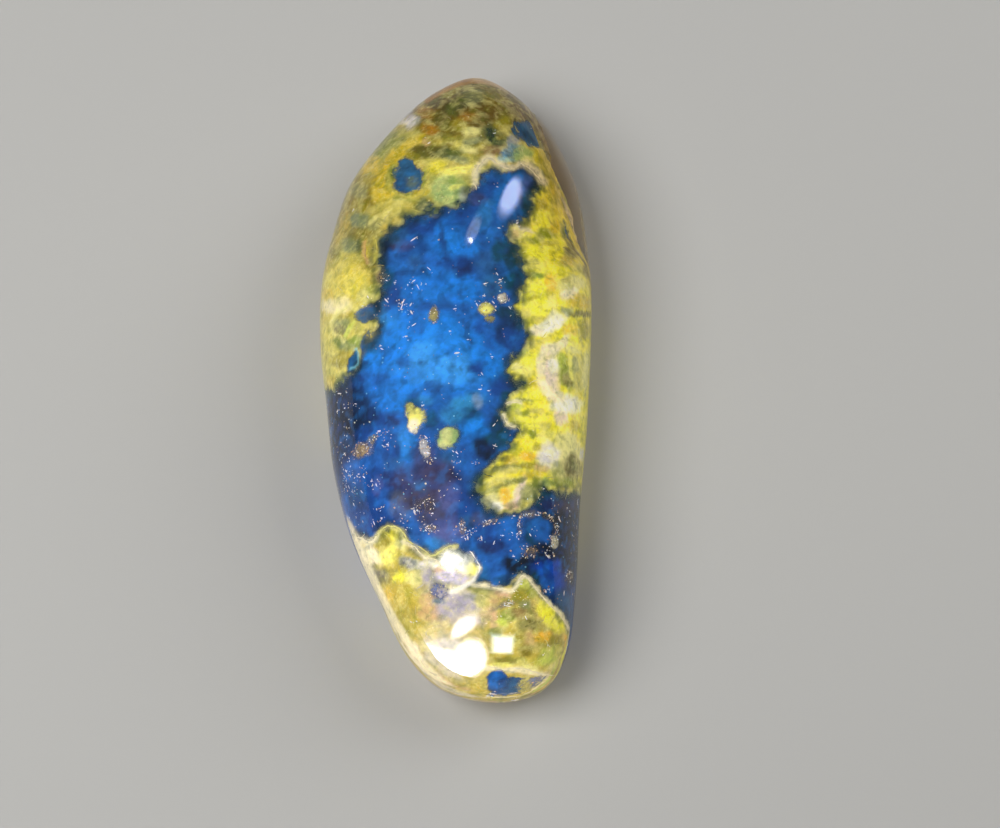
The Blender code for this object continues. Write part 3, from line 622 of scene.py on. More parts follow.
# Clusters of grains: x, y, half width, half height, turn, and how many
CLUSTERS = [
    (425, 447, 5, 13, -12, 30), (430, 460, 7, 4, 0, 12), (362, 449, 11, 7, -20, 26),
    (376, 436, 8, 3, -40, 12),
    (388, 433, 5, 3, 0, 6), (457, 462, 6, 1.5, 0, 6), (475, 463, 5, 1.5, 0, 6), (425, 503, 14, 8, 0, 18),
    (416, 511, 4, 5, 0, 10), (381, 508, 5, 5, 0, 9), (430, 528, 10, 4, 5, 26), (404, 520, 5, 12, -10, 10),
    (463, 526, 4, 10, -5, 22), (473, 531, 6, 3, -25, 12), (481, 539, 3, 2, 0, 6),
    (490, 523, 12, 2.5, -12, 18),
    (505, 530, 10, 8, 0, 8), (529, 551, 10, 8, 15, 30), (552, 541, 5, 7, 15, 26), (549, 554, 6, 4, 0, 14),
    (569, 576, 4, 8, 15, 18), (575, 596, 4, 5, 0, 6), (488, 308, 10, 6, 0, 16), (503, 299, 6, 5, 0, 10),
    (500, 282, 5, 5, 0, 8), (516, 225, 6, 4, -40, 8), (402, 304, 8, 8, 0, 14), (387, 302, 4, 5, 0, 5),
    (385, 278, 5, 5, 0, 9), (415, 284, 8, 6, 0, 8), (434, 315, 4, 9, 5, 10), (340, 393, 8, 3, 5, 8),
    (345, 405, 10, 6, 0, 8), (356, 475, 14, 10, 0, 26), (350, 488, 8, 8, 0, 12), (372, 483, 8, 5, 0, 9),
    (390, 443, 8, 6, 0, 8), (415, 428, 6, 6, 0, 8), (508, 604, 8, 3, -15, 14), (522, 600, 14, 12, 0, 16),
    (545, 590, 6, 4, 0, 6), (492, 694, 8, 3, -35, 12), (515, 699, 5, 2.5, -30, 8), (466, 538, 5, 3, 0, 6),
    (540, 500, 14, 6, 0, 8), (560, 515, 10, 12, 0, 12), (575, 530, 4, 14, 0, 8), (440, 590, 18, 14, 0, 8),
    (500, 625, 14, 14, 0, 12), (520, 516, 2.5, 3, 0, 10), (519, 524, 1.8, 5, 0, 12),
    (519, 534, 1.8, 6, 5, 14),
    (528, 515, 7, 1.8, 0, 14), (541, 514, 6, 2, -5, 16), (551, 518, 4, 2.4, 50, 16),
    (556, 527, 2.4, 6, -5, 18),
    (556, 537, 2.4, 5, 10, 14), (437, 480, 24, 20, 0, 20), (365, 520, 16, 14, 0, 14),
    (345, 440, 10, 30, 0, 16),
]

# Where the resin holds the most grains: how many, and the patch
DUST = [
    (1.0, (430, 500, 55, 50, 0, CREAM, 1)),
    (0.7, (360, 455, 35, 60, 0, CREAM, 1)),
    (0.5, (545, 550, 40, 45, 0, CREAM, 1)),
    (0.5, (490, 310, 40, 45, 0, CREAM, 1)),
    (0.35, (400, 320, 40, 60, 0, CREAM, 1)),
    (0.4, (500, 640, 45, 40, 0, CREAM, 1)),
]

# Painted glints, made as bright glowing slivers: x, y, half length, half width, turn
GLINTS = [
    (414, 239, 4, 1.1, -35), (471, 241, 3, 2, 80), (386, 301, 3, 1.2, 45), (403, 302, 2.5, 1.2, -60),
    (402, 307, 3, 0.9, -70), (411, 305, 2, 1.1, -60), (411.5, 312.5, 2.4, 1.5, 60),
    (414, 325, 2.5, 0.9, -35),
    (406.5, 336.5, 1.6, 1.4, 0), (414, 281, 1.8, 1.2, -30), (418, 287, 3, 0.7, 65),
    (395, 282.5, 1.2, 0.9, 0),
    (429, 269, 2.6, 0.8, 45), (382, 349, 2, 0.9, 30), (381, 346, 1.2, 0.8, 0), (484, 296, 1.6, 1.3, 0),
    (485, 284, 2, 0.9, -20), (477, 305, 2.2, 1, 60), (493, 303, 2, 1.1, 50), (457, 353, 2.6, 1.8, -10),
    (450, 331.5, 1.2, 0.9, 0), (492, 357, 1.2, 1, 0), (480, 389.5, 1.8, 0.9, 0), (488.5, 391, 1.3, 1, 0),
    (482, 374, 1.8, 0.8, 60), (455, 309, 1.8, 1, -10), (500, 280, 1.6, 1.4, 0), (497, 274, 2, 0.8, 60),
    (517, 224, 2.4, 1, -60), (499, 228, 1.5, 1, 0), (510, 308, 2, 0.9, 50), (468, 340, 1.3, 0.8, 0),
    (340, 393.5, 3.6, 1.1, 2), (356, 404, 1.6, 0.8, 10), (338, 411, 1.8, 1.2, -20), (345, 408, 1.4, 0.8, 0),
    (379, 432, 1.8, 1.3, 0), (388, 444.5, 1.4, 1.2, 0), (426, 437.5, 2.6, 1, 55), (427, 453, 3.5, 1.2, 10),
    (423, 406, 1.6, 1, -30), (345, 454, 2, 0.9, 40), (347, 471, 1.8, 1, 50), (359, 474, 1.4, 1, 0),
    (364, 477, 1.8, 1.2, 30), (351, 476, 1.4, 0.9, 60), (372, 481, 1.4, 1, 0), (377, 485, 2, 0.9, 70),
    (349, 487, 2, 0.7, 80), (362, 491.5, 1.5, 0.8, 40), (354, 504.5, 2, 1, 45), (382, 518, 1.3, 1, 0),
    (374.5, 523, 2.2, 0.9, 75), (415, 512, 2.5, 1.6, 80), (466, 538, 2.4, 1, 25), (481.5, 538, 2, 1.3, 80),
    (494, 543, 2.2, 0.8, -70), (434, 504, 2, 0.7, 60), (432, 513, 1.4, 0.9, 0), (457, 453, 1.8, 1, 45),
    (453, 451, 1.3, 0.9, 45), (494, 425, 2, 0.9, -50), (495, 446, 2.4, 0.8, 20), (514, 515.5, 1.3, 1, 0),
    (529.5, 535, 1.6, 1, 50), (545.5, 591.5, 1.6, 1.1, 60), (563, 593, 2.4, 0.9, 65),
    (574, 595, 2.5, 0.7, 75),
    (513.5, 556.5, 1.4, 1, 0), (547, 556.5, 3, 0.7, 35), (569, 572, 1.5, 1.2, 0),
    (576.5, 527.5, 2, 0.9, 75),
    (577, 502, 3, 0.7, 80), (559, 519, 3, 1.2, 40), (543, 488.5, 1.2, 1, 0), (525, 604.5, 1.6, 1.2, 0),
    (412, 621.5, 1.4, 1, 0), (417, 621, 1, 0.9, 0), (443, 580.5, 1, 1, 0), (492, 693, 4.5, 1.1, -42),
    (488, 696, 2, 1.1, -20), (515, 699, 3.5, 1.8, -35), (510, 603, 3, 0.8, 5), (508, 606, 3, 0.7, 10),
    (521, 584, 1.3, 1.2, 0), (526, 618, 2, 0.8, 55), (542, 655, 1.2, 1, 0), (547, 645, 1, 1, 0),
    (368, 297, 2, 1, 60), (363, 306, 1.2, 1, 0), (429, 143, 1.8, 1.2, -40), (494, 134, 1.2, 0.9, 0),
    (354, 210, 2, 0.8, -40), (497, 187, 1.3, 0.7, 0), (588, 365, 1.2, 1, 0), (582, 455, 3.5, 1, 85),
]

# Healed cracks and crests that show as pale lines: half width, colour, the places it runs through
PALE_LINES = [
    (2.4, CREAM, [(476, 190), (474, 177), (480, 165), (488, 158), (496, 163), (506, 168), (514, 168),
                  (521, 164), (531, 170), (541, 182)]),
    (1.6, BUTTER, [(446, 172), (458, 169), (466, 169), (472, 167)]),
    (1.4, STRAW, [(389, 176), (391, 187), (400, 196), (414, 199), (424, 193), (428, 183)]),
    (2.6, IVORY, [(354, 536), (362, 539), (371, 542), (377, 536)]),
    (1.8, PALE_STRAW, [(377, 536), (384, 528), (392, 526), (401, 530), (408, 541), (419, 546),
                       (430, 555), (438, 553), (447, 547), (456, 546)]),
    (1.6, WHITE, [(470, 552), (477, 561), (480, 570), (474, 579), (462, 588), (452, 592)]),
    (1.5, IVORY, [(474, 585), (488, 586), (503, 590), (513, 590), (521, 577), (528, 579), (536, 590),
                  (548, 603), (560, 615), (568, 628)]),
    (1.8, IVORY, [(487, 667), (503, 669), (518, 668), (531, 671), (543, 674), (557, 675)]),
    (1.2, BUTTER, [(568, 352), (569, 366), (571, 378)]),
    (1.3, PALE_STRAW, [(334, 334), (333, 322), (339, 314), (349, 307)]),
    (1.1, PALE_STRAW, [(334, 334), (341, 336), (345, 343)]),
    (1.0, CYAN, [(350, 368), (356, 366), (359, 357), (357, 350)]),
    (1.2, TAN, [(366, 243), (365, 255), (368, 264)]),
    (1.0, STRAW, [(375, 238), (377, 250), (375, 262)]),
    (1.2, IVORY, [(503, 415), (507, 424), (515, 428)]),
    (1.0, IVORY, [(505, 404), (514, 402), (521, 404)]),
    (1.2, CREAM, [(404, 542), (412, 545), (424, 556), (436, 560), (442, 567)]),
]

# Where the thin edge of the stone catches the light
RIM_LINES = [
    (2.5, TAN, [(326, 436), (330, 466), (336, 498), (344, 520)]),
    (4.5, CREAM, [(344, 520), (357, 542), (368, 566), (379, 589), (391, 613), (406, 637)]),
    (4.0, IVORY, [(406, 637), (421, 659), (439, 677), (456, 689)]),
    (3.0, AMBER_BROWN, [(428, 101), (445, 91), (462, 84), (478, 81)]),
    (4.0, TAN, [(478, 81), (495, 84), (513, 93), (531, 104), (546, 119), (557, 137)]),
    (3.0, TAN, [(557, 137), (567, 160), (575, 190), (582, 225)]),
]


def linear(colour):
    """A screen colour as scene-linear light."""
    level = np.array(colour) / 255
    return np.where(level > 0.04045, ((level + 0.055) / 1.055) ** 2.4, level / 12.92)


def ease(low, high, value):
    """0 up to low, 1 from high, and smooth between them."""
    t = np.clip((value - low) / (high - low), 0, 1)
    return t * t * (3 - 2 * t)


def cloud(place, size, octaves, seed):
    """Soft noise from about -1 to 1, with lumps of a size in millimetres."""
    shift = Vector((7.3, 3.1, 5.7)) * seed
    return np.array([noise.fractal(Vector(p) / size + shift, 1.0, 2.0, octaves) for p in place])


def crests(place, size, octaves, seed):
    """Noise with sharp, branching crests, from about 0 to 1."""
    shift = Vector((2.9, 8.3, 4.1)) * seed
    ridged = noise.ridged_multi_fractal
    return np.array([ridged(Vector(p) / size + shift, 1.0, 2.1, octaves, 1.0, 2.0) for p in place]) / 2


def depth_inside(seen, outline):
    """How many pixels each place lies inside a closed outline. It is negative outside."""
    ends = np.array(outline, float)
    starts = np.roll(ends, 1, 0)
    nearest = np.full(len(seen), np.inf)
    inside = np.zeros(len(seen), bool)
    for start, end in zip(starts, ends):
        run = end - start
        share = np.clip((seen - start) @ run / (run @ run), 0, 1)
        nearest = np.minimum(nearest, np.linalg.norm(seen - start - share[:, None] * run, axis=1))
        crosses = (start[1] > seen[:, 1]) != (end[1] > seen[:, 1])
        if start[1] != end[1]:
            x = start[0] + (seen[:, 1] - start[1]) * run[0] / run[1]
            inside ^= crosses & (seen[:, 0] < x)
    return np.where(inside, nearest, -nearest)


def gap_to_line(seen, points):
    """How many pixels each place lies from an open line."""
    nearest = np.full(len(seen), np.inf)
    for start, end in zip(np.array(points[:-1], float), np.array(points[1:], float)):
        run = end - start
        share = np.clip((seen - start) @ run / (run @ run), 0, 1)
        nearest = np.minimum(nearest, np.linalg.norm(seen - start - share[:, None] * run, axis=1))
    return nearest


def smooth_line(points, steps=5):
    """The smooth open curve through the points."""
    knots = np.array([points[0], *points, points[-1]], float)
    curve = [
        spline_point(*knots[i : i + 4], k / steps)
        for i in range(len(knots) - 3)
        for k in range(steps)
    ]
    return curve + [knots[-1]]


def patch_reach(seen, spot):
    """How far each place is from a patch's middle, where its edge is at 1."""
    x, y, half_width, half_height, turn, _, _ = spot
    turn = math.radians(turn)
    dx, dy = seen[:, 0] - x, seen[:, 1] - y
    across = (dx * math.cos(turn) + dy * math.sin(turn)) / half_width
    along = (dy * math.cos(turn) - dx * math.sin(turn)) / half_height
    return np.hypot(across, along)


class Painting:
    """The colour of every point of the inside, laid on patch by patch."""

    def __init__(self, colour, count):
        self.colour = np.tile(linear(colour), (count, 1))

    def lay(self, amount, colour):
        self.colour += np.clip(amount, 0, 1)[:, None] * (linear(colour) - self.colour)

    def spots(self, seen, spots, broken):
        """Lays soft patches on, with their edges broken up by some noise."""
        for spot in spots:
            reach = patch_reach(seen, spot) + broken
            self.lay(spot[6] * (1 - ease(0.6, 1.3, reach)), spot[5])


def shown_at(seen, spots, broken, low=0.75, high=1.1):
    """How strongly any of the patches shows at each place."""
    shown = np.zeros(len(seen))
    for spot in spots:
        reach = patch_reach(seen, spot) + broken
        shown = np.maximum(shown, spot[6] * (1 - ease(low, high, reach)))
    return shown


def paint(seen, unseen, place):
    """The blue heart's colour, the crust's, how far the crust covers the heart, and the dust."""
    slow = np.column_stack([cloud(place, 0.6, 2, seed) for seed in (1, 2)])
    quick = np.column_stack([cloud(place, 0.22, 2, seed) for seed in (3, 4)])
    ragged = seen + 2.4 * slow + 1.0 * quick
    steady = seen + 1.0 * slow + 0.6 * quick
    mottle = cloud(place, 0.8, 2, 5)
    blotch = cloud(place, 0.38, 2, 16)
    grain = cloud(place, 0.16, 2, 6)
    warp = np.column_stack([mottle, blotch, grain])
    fold = crests(place + 0.35 * warp, 0.8, 2, 7)
    broken = 0.22 * cloud(place, 0.35, 2, 10)
    depth = depth_inside(seen + 2.6 * slow + 1.4 * quick, BLUE_FIELD)
    cover = ease(9, -8, depth + 3.0 * blotch)
    cover *= 1 - shown_at(ragged, WINDOW_SPOTS, broken, 0.6, 1.45)
    cover = np.maximum(cover, 0.85 * shown_at(ragged, CHIP_SPOTS, broken, 0.35, 1.4))

    art = Painting(STRAW, len(seen))
    art.lay(ease(-0.2, 0.5, mottle) * 0.8, HONEY)
    art.lay(ease(0.1, 0.6, -mottle) * 0.6, OLIVE)
    flank = ease(-6, 5, depth_inside(ragged, LEMON_FLANK))
    art.lay(flank, LEMON)
    art.lay(flank * ease(0.0, 0.5, -mottle) * 0.35, GOLD)
    art.lay(ease(-6, 6, depth_inside(ragged, HONEY_END)), HONEY)
    art.lay(ease(-2, 3, depth_inside(steady, YELLOW_LOBE)), GOLD)
    plain = art.colour.copy()
    art.spots(ragged, CRUST_SPOTS, broken)
    art.colour += 0.85 * ease(0.25, 1.0, unseen)[:, None] * (plain - art.colour)
    art.lay(0.25 * ease(0.1, 0.5, blotch), GREEN)
    art.lay(0.25 * ease(0.1, 0.5, -blotch), PALE_STRAW)
    # Painted light on the folds: paler on their crests, and darker moss green in the creases between them.
    art.lay(0.4 * ease(0.42, 0.75, fold), PALE_STRAW)
    art.lay(0.3 * ease(0.3, 0.08, fold), MOSS)
    # Painted shade: towards the blue field's edge the crust turns forest green and then teal, darker where it
    # steps down to the blue; the teal also stands for the blue showing through the thin crust.
    art.lay(0.85 * ease(-11, -2, depth) * ease(-0.3, 0.25, blotch), FOREST)
    art.lay(0.8 * ease(-4, 3, depth), TEAL)
    art.spots(steady, CHIP_SPOTS, broken)

    blue = Painting(BLUE, len(seen))
    blue.lay(ease(-0.1, 0.6, mottle) * 0.6, DEEP_BLUE)
    blue.spots(ragged, FIELD_SPOTS, broken)
    haze = cloud(place, 0.42, 3, 9)
    blue.lay(0.35 * ease(0.05, 0.5, haze), DEEP_BLUE)
    blue.lay(0.25 * ease(0.1, 0.6, -haze), BRIGHT_AZURE)
    blue.lay(0.4 * ease(0.3, 0.6, blotch + 0.3 * grain), NAVY)
    # Painted shade: the blue darkens to dark teal and ink along the crust's edge, where the raised crust
    # shades it.
    crust_edge_shade = ease(12, 0, depth) * ease(-12, -2, depth)
    blue.lay(0.75 * crust_edge_shade * ease(-0.4, 0.3, mottle), DARK_TEAL)
    blue.lay(0.5 * crust_edge_shade * ease(-0.1, 0.4, haze), INK)

    for half_width, colour, points in PALE_LINES:
        gap = gap_to_line(steady, smooth_line(points))
        line = 0.75 * (1 - ease(half_width * 0.4, half_width * 2.4, gap + 2 * broken))
        art.lay(line, colour)
        blue.lay(line * ease(5, -2, depth), colour)
    # The rim lines are painted highlights along the stone's thin edge.
    for half_width, colour, points in RIM_LINES:
        gap = gap_to_line(seen, smooth_line(points))
        rim = 0.85 * (1 - ease(half_width * 0.5, half_width * 1.4, gap)) * ease(0.7, 0.2, unseen)
        art.lay(rim, colour)
        blue.lay(rim, colour)
    dust = sum(strength * (1 - ease(0.3, 1.2, patch_reach(seen, spot))) for strength, spot in DUST)
    clusters = ease(-0.05, 0.45, cloud(place, 0.5, 2, 21))
    return blue.colour, art.colour, cover, (0.12 + dust) * (0.15 + 1.8 * clusters)


# Materials

class Level:
    """A number on its way through a material, so that shader maths reads as Python."""

    def __init__(self, finish, socket):
        self.finish = finish
        self.socket = socket

    def math(self, operation, first, second=0.0):
        node = self.finish.node("ShaderNodeMath", {"operation": operation}, {0: first, 1: second})
        return Level(self.finish, node.outputs[0])

    def __add__(self, other):
        return self.math("ADD", self, other)

    def __radd__(self, other):
        return self.math("ADD", other, self)

    def __sub__(self, other):
        return self.math("SUBTRACT", self, other)

    def __rsub__(self, other):
        return self.math("SUBTRACT", other, self)

    def __mul__(self, other):
        return self.math("MULTIPLY", self, other)

    def __rmul__(self, other):
        return self.math("MULTIPLY", other, self)

    def __abs__(self):
        return self.math("ABSOLUTE", self)

    def between(self, low, high):
        """0 up to low, 1 from high, and smooth between them. low may be the higher one."""
        node = self.finish.node(
            "ShaderNodeMapRange",
            {"interpolation_type": "SMOOTHSTEP"},
            {"Value": self, "From Min": low, "From Max": high},
        )
        return Level(self.finish, node.outputs[0])


class Finish:
    """A material that is being made."""

    def __init__(self, name):
        self.material = bpy.data.materials.new(name)
        self.material.use_nodes = True
        self.tree = self.material.node_tree
        self.shader = self.tree.nodes["Principled BSDF"]
        self.output = self.tree.nodes["Material Output"]

    def node(self, kind, settings, sockets):
        """A new node with its settings made first and its sockets set or linked after."""
        node = self.tree.nodes.new(kind)
        for name, value in settings.items():
            setattr(node, name, value)
        for name, value in sockets.items():
            self.feed(node.inputs[name], value)
        return node

    def feed(self, socket, value):
        if isinstance(value, Level):
            value = value.socket
        if isinstance(value, bpy.types.NodeSocket):
            self.tree.links.new(value, socket)
        else:
            socket.default_value = value

    def set(self, **values):
        """Sets or links the shader's own sockets: base_color is Base Color."""
        for name, value in values.items():
            words = name.replace("_", " ").title().replace("Ior", "IOR")
            self.feed(self.shader.inputs[words], value)

    def attribute(self, name):
        return self.node("ShaderNodeAttribute", {"attribute_name": name}, {})

    def place(self):
        """Where a point is, in millimetres."""
        where = self.node("ShaderNodeTexCoord", {}, {}).outputs["Object"]
        scaled = self.node("ShaderNodeVectorMath", {"operation": "SCALE"}, {0: where, "Scale": 1 / MM})
        return scaled.outputs[0]

    def noise(self, place, size, detail=2.0, distortion=0.0):
        """Soft noise round 0.5 with lumps of a size in millimetres."""
        node = self.node(
            "ShaderNodeTexNoise",
            {},
            {"Vector": place, "Scale": 1 / size, "Detail": detail, "Distortion": distortion},
        )
        return Level(self, node.outputs["Fac"])

    def specks(self, place, spacing, radius, share):
        """Round specks: their spacing and radius in millimetres, and the share that is kept."""
        cells = self.node("ShaderNodeTexVoronoi", {}, {"Vector": place, "Scale": 1 / spacing})
        lot = self.node("ShaderNodeSeparateColor", {}, {"Color": cells.outputs["Color"]})
        kept = Level(self, lot.outputs[0]).between(share + 0.01, share)
        return Level(self, cells.outputs["Distance"]).between(radius / spacing, 0.4 * radius / spacing) * kept

    def mix(self, amount, first, second):
        """A colour that goes from first to second."""
        first, second = (
            value if isinstance(value, bpy.types.NodeSocket) else (*linear(value), 1.0)
            for value in (first, second)
        )
        settings = {"data_type": "RGBA"}
        node = self.node("ShaderNodeMix", settings, {0: amount, 6: first, 7: second})
        return node.outputs[2]

    def scaled(self, colour, amount):
        """A colour made brighter or darker by a level."""
        node = self.node("ShaderNodeVectorMath", {"operation": "SCALE"}, {0: colour, "Scale": amount})
        return node.outputs[0]


def clear_resin():
    """Honey-tinted clear resin with a hand polish."""
    finish = Finish("clear_resin")
    finish.set(
        base_color=(1, 1, 1, 1),
        transmission_weight=1.0,
        ior=AMBER_IOR,
        roughness=0.015,
    )
    tint = finish.node(
        "ShaderNodeVolumeAbsorption", {}, {"Color": (0.95, 0.8, 0.55, 1), "Density": 400.0}
    )
    finish.feed(finish.output.inputs["Volume"], tint.outputs[0])
    return finish.material


def crust_resin():
    """Cloudy yellow resin in folds, thin enough at its edges for the blue to show through, with painted
    glints on its crinkles and a painted glow.
    """
    finish = Finish("cloudy_yellow_resin")
    place = finish.place()
    tint = finish.attribute("tint").outputs["Color"]
    cover = Level(finish, finish.attribute("cover").outputs["Fac"])
    pallor = Level(finish, finish.attribute("pallor").outputs["Fac"])
    mottle = finish.noise(place, 0.4, 2, 0.8)
    fine = finish.noise(place, 0.14, 2, 0.5)
    # The veins and curls are thin pale lines laid on as painted glints of the crinkled resin; the veins also
    # raise the bump.
    vein = abs(finish.noise(place, 0.55, 2, 1.4) - 0.5).between(0.022, 0.0)
    glint_curl = abs(finish.noise(place, 0.28, 1, 2.2) - 0.5).between(0.03, 0.0)
    colour = finish.scaled(tint, 0.45 + 0.65 * mottle + 0.35 * fine)
    colour = finish.mix(mottle.between(0.42, 0.3) * 0.25, colour, MOSS)
    colour = finish.mix(glint_curl * mottle.between(0.45, 0.6) * pallor * 0.3, colour, CREAM)
    colour = finish.mix(vein * fine.between(0.4, 0.6) * pallor * 0.45, colour, PALE_STRAW)
    # The pale specks are painted sparkle.
    colour = finish.mix(finish.specks(place, 0.25, 0.045, 0.06) * 0.5, colour, CREAM)
    bump = finish.node(
        "ShaderNodeBump",
        {},
        {"Height": vein * 0.4 + mottle + fine * 0.4, "Distance": 0.00006, "Strength": 0.7},
    )
    # The emission is a painted glow, standing in for light that shines through the translucent resin.
    finish.set(
        base_color=colour,
        emission_color=colour,
        emission_strength=0.3,
        roughness=0.4,
        specular_ior_level=0.3,
        alpha=(1.25 * cover + 0.6 * fine - 0.35).between(0.08, 0.92),
        normal=bump.outputs[0],
    )
    return finish.material


def blue_resin():
    """Cloudy deep blue resin that glows a little, with some fine dust."""
    finish = Finish("cloudy_blue_resin")
    place = finish.place()
    tint = finish.attribute("tint").outputs["Color"]
    cloudy = finish.noise(place, 0.55, 3, 0.5)
    fine = finish.noise(place, 0.16, 2, 0.3)
    colour = finish.scaled(tint, 0.15 + 1.1 * cloudy + 0.4 * fine)
    colour = finish.mix(finish.noise(place, 0.9, 2, 0.6).between(0.42, 0.3) * 0.35, colour, INK)
    colour = finish.mix(finish.specks(place, 0.3, 0.045, 0.12) * 0.6, colour, CYAN)
    finish.set(
        base_color=colour,
        emission_color=colour,
        emission_strength=0.35,
        roughness=0.5,
        specular_ior_level=0.15,
    )
    return finish.material


def pale_resin(name, glow):
    """The pale filling of healed cracks, and the specks that sparkle."""
    finish = Finish(name)
    tint = finish.attribute("tint").outputs["Color"]
    shade = finish.noise(finish.place(), 0.12, 2)
    colour = finish.scaled(tint, 0.5 + 0.8 * shade)
    finish.set(
        base_color=colour,
        emission_color=colour,
        emission_strength=glow,
        roughness=0.45,
        specular_ior_level=0.3,
    )
    return finish.material


def grain_mineral():
    """Pale, brown and dark grains, which glow a little as painted sparkle."""
    finish = Finish("grain_mineral")
    shade = Level(finish, finish.attribute("shade").outputs["Fac"])
    colour = finish.mix(shade.between(0.2, 0.35), BROWN, PEACH)
    colour = finish.mix(shade.between(0.5, 0.65), colour, CREAM)
    colour = finish.mix(shade.between(0.8, 0.85), colour, CYAN)
    # The emission is a painted glow that makes the grains sparkle.
    finish.set(
        base_color=colour,
        emission_color=colour,
        emission_strength=0.35,
        roughness=0.5,
        specular_ior_level=0.3,
    )
    return finish.material


# The pieces

def put_attribute(piece, name, values):
    """Keeps a colour or a level for every point of a piece."""
    if values.ndim == 2:
        layer = piece.data.color_attributes.new(name, "FLOAT_COLOR", "POINT")
        layer.data.foreach_set("color", np.column_stack([values, np.ones(len(values))]).ravel())
    else:
        layer = piece.data.attributes.new(name, "FLOAT", "POINT")
        layer.data.foreach_set("value", values)


def normals_of(net, faces):
    """The outward direction at every point of a closed net."""
    quads = np.array(faces)
    across = np.cross(net[quads[:, 2]] - net[quads[:, 0]], net[quads[:, 3]] - net[quads[:, 1]])
    normals = np.zeros_like(net)
    for corner in quads.T:
        np.add.at(normals, corner, across)
    return normals / np.linalg.norm(normals, axis=1, keepdims=True)


def cover_over(net, skin_tree):
    """How much clear resin lies over every point, in millimetres."""
    return np.array([skin_tree.find_nearest(point)[3] for point in net.tolist()])


def make_skin():
    """The clear polished skin, which is the whole stone's surface."""
    form = dome_form(
        outline_curve(12), 0.0, GIRDLE_HEIGHT, HEIGHT, wave=1, back_rings=16, dome_rings=80
    )
    skin = make_object("clear_skin", *form)
    skin.data.materials.append(clear_resin())
    return skin, BVHTree.FromPolygons(form[0].tolist(), form[1])


def inside_net(voxel):
    """The even form of the cloudy inside, before it swells and sinks."""
    form = dome_form(
        outline_curve(6, inset=1.0),
        INSIDE_BOTTOM,
        INSIDE_GIRDLE,
        INSIDE_TOP,
        wave=1,
        back_rings=10,
        dome_rings=40,
    )
    return even_mesh(*form, voxel)


def swell(net, faces, rise, skin_tree):
    """The net moved out by rise, where the clear resin over it leaves room."""
    room = cover_over(net, skin_tree) - LEAST_COVER
    return net + normals_of(net, faces) * np.minimum(rise, room)[:, None]


HEART_VOXEL = 0.1
CRUST_VOXEL = 0.088
HEART_LUMPS = 0.06
CRUST_HEIGHT = 0.17
CRUST_SINK = 0.25
# How much of the crust's height is plain, in broad folds and in fine creases
CRUST_PLAIN, CRUST_FOLDS, CRUST_CREASES = 0.75, 0.45, 0.25
# The level of light from which resin counts as fully pale
PALE_LEVEL = 0.5


def make_inside(skin_tree):
    """The blue heart, and the crust of yellow resin that stands above it along the flanks."""
    net, faces = inside_net(HEART_VOXEL)
    heart_tree = BVHTree.FromPolygons(net.tolist(), faces)
    pixels, places = sights_inside(skin_tree, heart_tree, 2)
    seen, unseen = as_seen(net, pixels, places)
    blue, _, cover, dust = paint(seen, unseen, net)
    rise = HEART_LUMPS * (0.5 * cloud(net, 0.9, 3, 11) - 0.5)
    heart_form = swell(net, faces, rise, skin_tree)
    heart = make_object("blue_heart", heart_form, faces)
    heart.data.materials.append(blue_resin())
    put_attribute(heart, "tint", blue)
    put_attribute(heart, "dust", dust * (1 - cover))
    heart_tree = BVHTree.FromPolygons(heart_form.tolist(), faces)

    net, faces = inside_net(CRUST_VOXEL)
    seen, unseen = as_seen(net, pixels, places)
    _, yellow, cover, _ = paint(seen, unseen, net)
    folds = crests(net, 0.8, 3, 12) - 0.5
    creases = crests(net, 0.35, 2, 17) - 0.5
    height = CRUST_HEIGHT * (CRUST_PLAIN + CRUST_FOLDS * folds + CRUST_CREASES * creases)
    rise = height * ease(0.0, 0.8, cover) + 0.01 - CRUST_SINK * ease(0.03, 0.0, cover)
    crust_form = swell(net, faces, rise, skin_tree)
    crust = make_object("yellow_crust", crust_form, faces)
    crust.data.materials.append(crust_resin())
    put_attribute(crust, "tint", yellow)
    put_attribute(crust, "cover", cover)
    pallor = np.clip(yellow.max(axis=1) / PALE_LEVEL, 0.1, 1) ** 2
    put_attribute(crust, "pallor", pallor)
    crust_tree = BVHTree.FromPolygons(crust_form.tolist(), faces)
    return heart, crust, heart_tree, crust_tree


# Geometry Nodes

